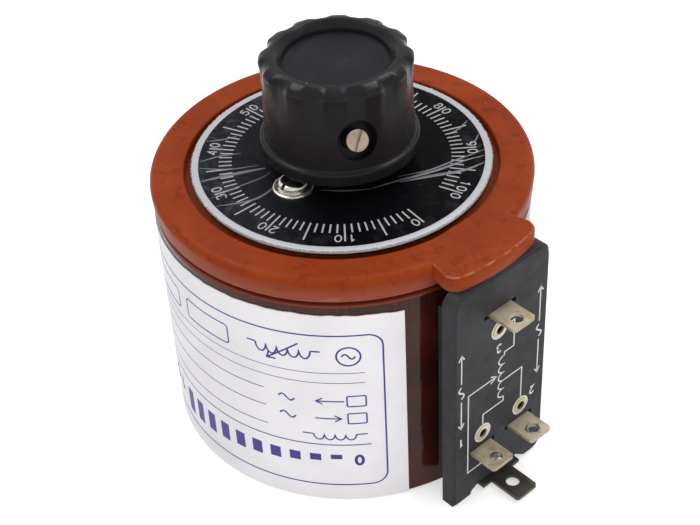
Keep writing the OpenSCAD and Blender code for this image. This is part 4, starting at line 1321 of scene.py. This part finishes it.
@dataclass
class Knob(Assembly):
    """The knob with its inlay and set screw, on the spindle."""

    lobes: int = 12
    lobe_phase: float = 16.0
    lobe_edges: Pair = (0.0, 0.8)
    lobe_rise: float = 0.8
    lobe_lift: float = 0.65
    lobe_fade: float = 4.5
    steps: int = 480
    wall_rows: int = 36
    shoulder_rows: int = 22
    axis_gap: float = 0.02
    insert_gap: float = 0.05
    bore: float = 7.05
    hollow: Pair = (9.0, 14.6)
    hollow_depth: float = 1.2
    flange: float = 17.1
    flange_foot: float = 0.35
    flange_top: Pair = (0.45, 0.5)
    flange_drop: float = 0.9
    seat: float = 3.3
    foot: float = 16.2
    fillet: Pair = (0.3, 0.6)
    fillet_rise: float = 0.25
    crest: float = 13.05
    shoulder: Pair = (2.3, 2.5)
    lip_round: float = 0.45
    lip_slope: float = 40.0
    pocket: float = 11.25
    pocket_edge: Pair = (0.06, 0.12)
    pocket_depth: float = 3.0
    well: float = 4.2
    well_depth: float = 6.0
    screw: float = 2.35
    screw_depth: float = 14.0
    screw_angle: float = -27.4
    screw_slant: float = 30.0
    screw_rise: float = 10.5
    drill_reach: float = 9.0
    drill_sides: int = 72
    index_angle: float = 152.6
    index_width: float = 0.7
    index_floor: float = 16.6
    index_fill: float = 0.52
    index_span: Pair = (68.4, 71.0)

    def build(self) -> None:
        """Moulds the knob, drills it, paints its index and dresses the nodes."""
        low, high = (corner.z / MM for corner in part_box("control_knob"))
        shell = self._shell(low, high)
        cut(shell, self._drills(low))
        add_piece(shell, Tone.KNOB, "rotor")
        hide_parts("control_knob")
        pen = Pen(RoundFlat(self.index_floor * MM, radians(self.index_angle)), ink=self.index_fill)
        pen.stroke(line(*((0, height) for height in self.index_span)), self.index_width)
        add_piece(pen.skin.make("knob_index_paint"), Tone.INDEX_INK, "rotor")
        dress_nodes({
            "knob_inlay": Tone.INLAY, "knob_set_screw": Tone.SCREW,
            "knob_insert": Tone.BRONZE, "spindle": Tone.ZINC, "spindle_collar": Tone.BRONZE,
            "thrust_washer": Tone.FIBRE,
        })

    def _underside(self, low: float) -> np.ndarray:
        """The profile from the axis under the knob and round its flange to the foot of its wall.

        Args:
            low: Height of the knob's foot.

        Returns:
            Radii and heights.
        """
        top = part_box("knob_insert")[1].z / MM + self.insert_gap
        roof = low + self.hollow_depth
        inner, outer = self.hollow
        round_off = self.flange - self.flange_foot
        seat = low + self.seat
        return np.concatenate([
            line((self.axis_gap, top), (self.bore, top), (self.bore, low), (inner, low), (inner, roof), step=2),
            line((outer, roof), (outer, low), (round_off, low), step=2),
            arc((round_off, low + self.flange_foot), (self.flange_foot,) * 2, -90, 0, 5)[1:],
            arc((self.flange - self.flange_top[0], seat - self.flange_drop), self.flange_top, 0, 85, 7),
            arc((self.foot + self.fillet[0], seat + self.fillet_rise), self.fillet, 250, 180, 6),
        ])

    def _inside(self, high: float) -> np.ndarray:
        """The profile from the crest over the rounded lip and its cone into the inlay's pocket.

        Args:
            high: Height of the crest.

        Returns:
            Radii and heights.
        """
        lip = arc((self.crest, high - self.lip_round), (self.lip_round,) * 2, 90, 90 + self.lip_slope, 8)
        edge = self.pocket + self.pocket_edge[0]
        slope_end = lip[-1, 1] - (lip[-1, 0] - edge) * tan(radians(self.lip_slope))
        floor = high - self.pocket_depth
        return np.concatenate([
            lip[1:],
            line((edge, slope_end), (self.pocket, slope_end - self.pocket_edge[1]), step=1),
            line((self.pocket, floor), (self.axis_gap, floor), step=3),
        ])

    def _shell(self, low: float, high: float) -> bpy.types.Object:
        """The knob turned from its profile, with soft lobes that grow up its wall and die out over its shoulder.

        Half of one plus the cosine of the lobes' angle gives the way between a lobe's two edges, and three times
        its square less twice its cube is the lobe's share. The shoulder is a quarter ellipse: its reach gains the
        rise and its drop loses the lift, each times the share. Down the wall the gain fades as a power of the way up.

        Args:
            low: Height of the knob's foot.
            high: Height of its crest.

        Returns:
            The solid shell.
        """
        turn = np.linspace(0, 2 * pi, self.steps, endpoint=False)[None, :]
        wave = (1 + np.cos(self.lobes * (turn - radians(self.lobe_phase)))) / 2
        way = np.clip((wave - self.lobe_edges[0]) / (self.lobe_edges[1] - self.lobe_edges[0]), 0, 1)
        lobe = way**2 * (3 - 2 * way)
        out = self.shoulder[0] + self.lobe_rise * lobe
        drop = self.shoulder[1] - self.lobe_lift * lobe
        up = np.linspace(0, 1, self.wall_rows + 1)[1:, None]
        taper = self.crest + self.shoulder[0] - self.foot
        wall = self.foot + taper * up + self.lobe_rise * lobe * up**self.lobe_fade
        start = low + self.seat + self.fillet_rise
        rise = start + (high - drop - start) * up
        over = np.linspace(0, pi / 2, self.shoulder_rows + 1)[1:, None]
        below, inside = (profile[..., None] + 0 * turn for profile in (self._underside(low), self._inside(high)))
        radius = np.concatenate([below[:, 0], wall, self.crest + out * np.cos(over), inside[:, 0]])
        height = np.concatenate([below[:, 1], rise, high - drop + drop * np.sin(over), inside[:, 1]])
        skin = Skin()
        skin.tube(np.stack([radius * np.cos(turn), radius * np.sin(turn), height], axis=-1))
        return skin.make("knob_shell")

    def _drills(self, low: float) -> list[bpy.types.Object]:
        """The tools that drill the set screw's slanting well and bore.

        Args:
            low: Height of the knob's foot.

        Returns:
            The two tools, rods along the screw's axis.
        """
        slant, angle = radians(self.screw_slant), radians(self.screw_angle)
        outward = np.array([cos(slant) * cos(angle), cos(slant) * sin(angle), sin(slant)])
        side = np.array([-sin(angle), cos(angle), 0])
        upward = np.cross(outward, side)
        start = np.array([self.foot * cos(angle), self.foot * sin(angle), low + self.screw_rise])
        turn = np.linspace(0, 2 * pi, self.drill_sides, endpoint=False)[None, :, None]
        tools = []
        for name, radius, depth in (
            ("well", self.well, self.well_depth), ("screw_bore", self.screw, self.screw_depth),
        ):
            along = np.array([-depth, self.drill_reach])[:, None, None]
            skin = Skin()
            skin.tube(start + along * outward + radius * (np.cos(turn) * side + np.sin(turn) * upward))
            tools.append(skin.make(name))
        return tools


@dataclass
class Board(Assembly):
    """The terminal board with its blades, eyelets and print. Places are across and up the board."""

    eyelets: tuple[Pair, ...] = ((-5.4, 17.8), (6.4, 17.8), (-0.9, 44.8))
    eyelet_ring: Pair = (1.93, 2.42)
    marks: tuple[tuple[str, float, float], ...] = (("1", -12.0, 19.3), ("2", 10.0, 20.0), ("3", -0.9, 39.4))
    mark_size: Pair = (1.55, 2.5)
    mark_weight: float = 0.42
    ink_width: float = 0.34
    wave_width: float = 0.4
    wires: tuple[tuple[Pair, ...], ...] = (
        ((0.8, 36.5), (0.8, 37.4), (3.6, 37.4), (3.6, 44.8), (1.6, 44.8)),
        ((0.8, 24.5), (0.8, 23.2), (-5.4, 23.2), (-5.4, 20.4)),
        ((0.8, 29.3), (6.4, 29.3), (6.4, 20.4)),
        ((-1.5, 31.7), (-9.9, 31.7), (-9.9, 8.4), (-4, 8.4)),
        ((-3.2, 32.7), (-1.5, 31.7), (-3.2, 30.7)),
    )
    spans: tuple[Triple, ...] = ((-12.0, 23.5, 44.5), (11.4, 24.5, 49.0))
    span_gap: float = 2.6
    barb: Pair = (0.8, 1.3)
    blade_hole: Pair = (52.7, 13.7)
    blade_side: float = 5.9
    solder_size: Pair = (1.62, 0.47)
    crust_size: Pair = (1.42, 0.42)

    def build(self) -> None:
        """Dresses the nodes, prints the board and puts solder on the two lower blades."""
        flat = BoardFlat(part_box("terminal_board")[1].x)
        add_piece(self._print(Pen(flat)), Tone.BOARD_INK, "stator")
        add_piece(self._solder(), Tone.SOLDER, "stator")
        dress_nodes({
            "terminal_board": Tone.BOARD, "left_blade": Tone.TIN, "right_blade": Tone.TIN,
            "upper_blade": Tone.TIN, "takeoff_leaf": Tone.LEAF, "eyelets": Tone.EYELET,
        })

    def _print(self, pen: Pen) -> bpy.types.Object:
        """Rings round the eyelets, plain numbers, head down, and the winding's circuit between the terminals.

        Args:
            pen: The pen on the board's front.

        Returns:
            The print.
        """
        for place in self.eyelets:
            pen.ring(place, *self.eyelet_ring)
        for text, y, z in self.marks:
            pen.digits(text, (y, z), self.mark_size, 180, self.mark_weight)
        coil = coil_path((24.5, 0), 2.4, 5, 1.7)
        pen.stroke(np.stack([0.8 - coil[:, 1], coil[:, 0]], axis=1), self.ink_width)
        for wire in self.wires:
            pen.stroke(line(*wire), self.ink_width)
        wide, tall = self.barb
        for y, low, high in self.spans:
            middle = (low + high) / 2
            pen.stroke(line((y, low), (y, middle - self.span_gap)), self.ink_width)
            pen.stroke(line((y, middle + self.span_gap), (y, high)), self.ink_width)
            for tip, back in ((low, low + tall), (high, high - tall)):
                pen.stroke(line((y - wide, back), (y, tip), (y + wide, back)), self.ink_width)
            wave = wave_path((middle, 0), 3.4, 1.5)
            pen.stroke(np.stack([y + wave[:, 1], wave[:, 0]], axis=1), self.wave_width)
        return pen.skin.make("board_print")

    def _solder(self) -> bpy.types.Object:
        """Solder on the lower blades: a lump that fills one hole and a crust round the other.

        The lump is a flattened ball whose radius swells with three and five waves a turn and whose height
        ripples along and across it. The crust is a ring whose thickness swells with two and five waves a turn.

        Returns:
            The solder.
        """
        skin = Skin()
        rows, columns = 12, 36
        turn = np.linspace(0, 2 * pi, columns, endpoint=False)[None, :]
        t = np.linspace(0.06, pi - 0.06, rows)[:, None]
        reach = self.solder_size[0] * np.sin(t) ** 0.8 * (1 + 0.13 * np.sin(3 * turn + 0.4) + 0.08 * np.sin(5 * turn))
        x, y = reach * np.cos(turn), reach * np.sin(turn)
        z = self.solder_size[1] * np.cos(t) * (1 + 0.25 * np.sin(3.1 * x) * np.cos(2.7 * y))
        skin.tube(self._at_hole(-1, x, y, z))
        section = np.linspace(0, 2 * pi, rows, endpoint=False)[:, None]
        thick = 0.24 + 0.09 * np.sin(2 * turn + 0.5) + 0.06 * np.sin(5 * turn)
        reach = self.crust_size[0] + thick * np.cos(section)
        z = self.crust_size[1] + thick * np.sin(section)
        skin.tube(self._at_hole(1, reach * np.cos(turn), reach * np.sin(turn), z), joined=True)
        return skin.make("blade_solder")

    def _at_hole(self, side: int, x: np.ndarray, y: np.ndarray, z: np.ndarray) -> np.ndarray:
        """Moves points about a blade's hole to their place."""
        middle = np.array([self.blade_hole[0], side * self.blade_side, self.blade_hole[1]])
        return np.stack([x, y, z], axis=-1) + middle


@dataclass
class BrushGear(Assembly):
    """The arm under the winding with its brush and spring, and the collector."""

    coils: int = 3
    coil_steps: int = 24
    wire: float = 0.25
    wire_sides: int = 12
    brush_travel: float = 1.5

    def build(self) -> None:
        """Dresses the nodes and winds a spring that fills the CAD spring's space and stands in for it."""
        low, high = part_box("brush_spring")
        coil = self._spring(np.array(low) / MM, np.array(high) / MM)
        spring = add_piece(coil, Tone.NICKEL, "rotor")
        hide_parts("brush_spring")
        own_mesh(spring)
        dress_nodes({
            "brush_arm": Tone.ARM, "arm_set_screw": Tone.ZINC, "collector_disc": Tone.BRASS,
            "brush_holder": Tone.BRASS, "carbon_brush": Tone.CARBON,
        })

    def _spring(self, low: np.ndarray, high: np.ndarray) -> bpy.types.Object:
        """The brush's spring: a round wire whose middle runs round the spring's axis and rises evenly.

        Args:
            low: Lower corner of the space that the spring fills.
            high: Upper corner of that space.

        Returns:
            The coil.
        """
        middle = (low + high) / 2
        way = np.linspace(0, 1, self.coil_steps * self.coils + 1)[:, None]
        section = np.linspace(0, 2 * pi, self.wire_sides, endpoint=False)[None, :]
        turn = 2 * pi * self.coils * way
        reach = (high[0] - low[0]) / 2 - self.wire + self.wire * np.cos(section)
        height = low[2] + self.wire + (high[2] - low[2] - 2 * self.wire) * way + self.wire * np.sin(section)
        skin = Skin()
        skin.tube(np.stack([middle[0] + reach * np.cos(turn), middle[1] + reach * np.sin(turn), height], axis=-1))
        return skin.make("spring_coil")


# Studio


class Role(Enum):
    """What a lamp is for: to light surfaces, or to show in their gloss."""

    LIGHT = "light"
    GLEAM = "gleam"


@dataclass(frozen=True)
class Softbox:
    """A rectangular lamp that faces a point over the part. Its place and sizes are in degrees and metres."""

    name: str
    azimuth: float
    elevation: float
    distance: float
    size: Pair
    power: float
    role: Role = Role.LIGHT
    aim: Triple = (0, 0, 0.045)

    def hang(self) -> None:
        """Hangs the lamp and aims it."""
        lamp = bpy.data.lights.new(self.name, "AREA")
        lamp.shape = "RECTANGLE"
        lamp.size, lamp.size_y = self.size
        lamp.energy = self.power
        holder = bpy.data.objects.new(self.name, lamp)
        azimuth, elevation = radians(self.azimuth), radians(self.elevation)
        level = cos(elevation)
        outward = Vector((level * cos(azimuth), level * sin(azimuth), sin(elevation)))
        holder.location = Vector(self.aim) + outward * self.distance
        holder.rotation_euler = outward.to_track_quat("Z", "Y").to_euler()
        holder.visible_diffuse = self.role is Role.LIGHT
        holder.visible_glossy = self.role is Role.GLEAM
        bpy.context.scene.collection.objects.link(holder)


@dataclass
class Studio:
    """The camera, the lamps, the floor and the white surroundings."""

    lens: float = 77.88
    sensor: float = 36.0
    camera_at: Triple = (0.20327, -0.17237, 0.25459)
    heading: float = 49.566
    tilt: float = 39.634
    roll: float = -3.076
    world_level: float = 0.54
    floor_half: float = 1.5
    floor_colour: Colour = (0.8, 0.8, 0.8)
    floor_rough: float = 0.9
    floor_glow: float = 0.5
    lamps: tuple[Softbox, ...] = (
        Softbox("left_box", -146, 62, 0.9, (0.8, 0.65), 2.75),
        Softbox("right_box", 66, 62, 0.9, (0.8, 0.65), 2.75),
        Softbox("front_fill", -14, 16, 1.0, (0.6, 0.5), 3.0),
        Softbox("side_fill", -100, 22, 1.0, (0.6, 0.5), 0.7),
        Softbox("left_strip", -168, 60, 0.8, (0.6, 0.15), 2.4, Role.GLEAM),
        Softbox("right_strip", 87, 60, 0.8, (0.6, 0.15), 3.2, Role.GLEAM),
    )

    def build(self) -> None:
        """Sets up everything round the part."""
        bpy.context.scene.view_settings.view_transform = "Standard"
        self._camera()
        self._surroundings()
        self._floor()
        for lamp in self.lamps:
            lamp.hang()

    def _camera(self) -> None:
        """Stands the camera where the photograph was taken from."""
        camera = bpy.data.cameras.new("camera")
        camera.lens = self.lens
        camera.sensor_width = self.sensor
        camera.clip_start = 0.01
        holder = bpy.data.objects.new("camera", camera)
        turn = Matrix.Rotation(radians(self.heading), 4, "Z")
        lean = Matrix.Rotation(radians(90 - self.tilt), 4, "X")
        spin = Matrix.Rotation(radians(self.roll), 4, "Z")
        holder.matrix_world = Matrix.Translation(self.camera_at) @ turn @ lean @ spin
        bpy.context.scene.collection.objects.link(holder)
        bpy.context.scene.camera = holder

    def _surroundings(self) -> None:
        """White to the camera and in reflections, and plain light on the part."""
        world = bpy.data.worlds.new("surroundings")
        bpy.context.scene.world = world
        world.use_nodes = True
        tree = world.node_tree
        back = tree.nodes["Background"]
        white = tree.nodes.new("ShaderNodeMix")
        white.inputs[2].default_value = self.world_level
        white.inputs[3].default_value = 1
        tree.links.new(seen_rays(tree), white.inputs[0])
        tree.links.new(white.outputs[0], back.inputs["Strength"])
        back.inputs["Color"].default_value = (1, 1, 1, 1)

    def _floor(self) -> None:
        """A wide pale sheet that keeps the shadow and is white to the camera and in reflections elsewhere."""
        half = self.floor_half
        corners = [(-half, -half, 0), (half, -half, 0), (half, half, 0), (-half, half, 0)]
        mesh = bpy.data.meshes.new("floor")
        mesh.from_pydata(corners, [], [(0, 1, 2, 3)])
        floor = bpy.data.objects.new("floor", mesh)
        bpy.context.scene.collection.objects.link(floor)
        s = Shader("floor")
        s.set(Base_Color=self.floor_colour, Roughness=self.floor_rough, Emission_Color=(1.0, 1.0, 1.0))
        s.link(s.times(seen_rays(s.tree), self.floor_glow), "Emission Strength")
        floor.data.materials.append(s.material)


def main() -> None:
    """Builds the studio and each sub-assembly."""
    logging.basicConfig(level=logging.INFO, format="%(message)s")
    Studio().build()
    for assembly in (Label(), Body(), Dial(), Knob(), Board(), BrushGear()):
        assembly.build()
        LOG.info("%s is dressed", type(assembly).__name__)


if __name__ == "__main__":
    main()
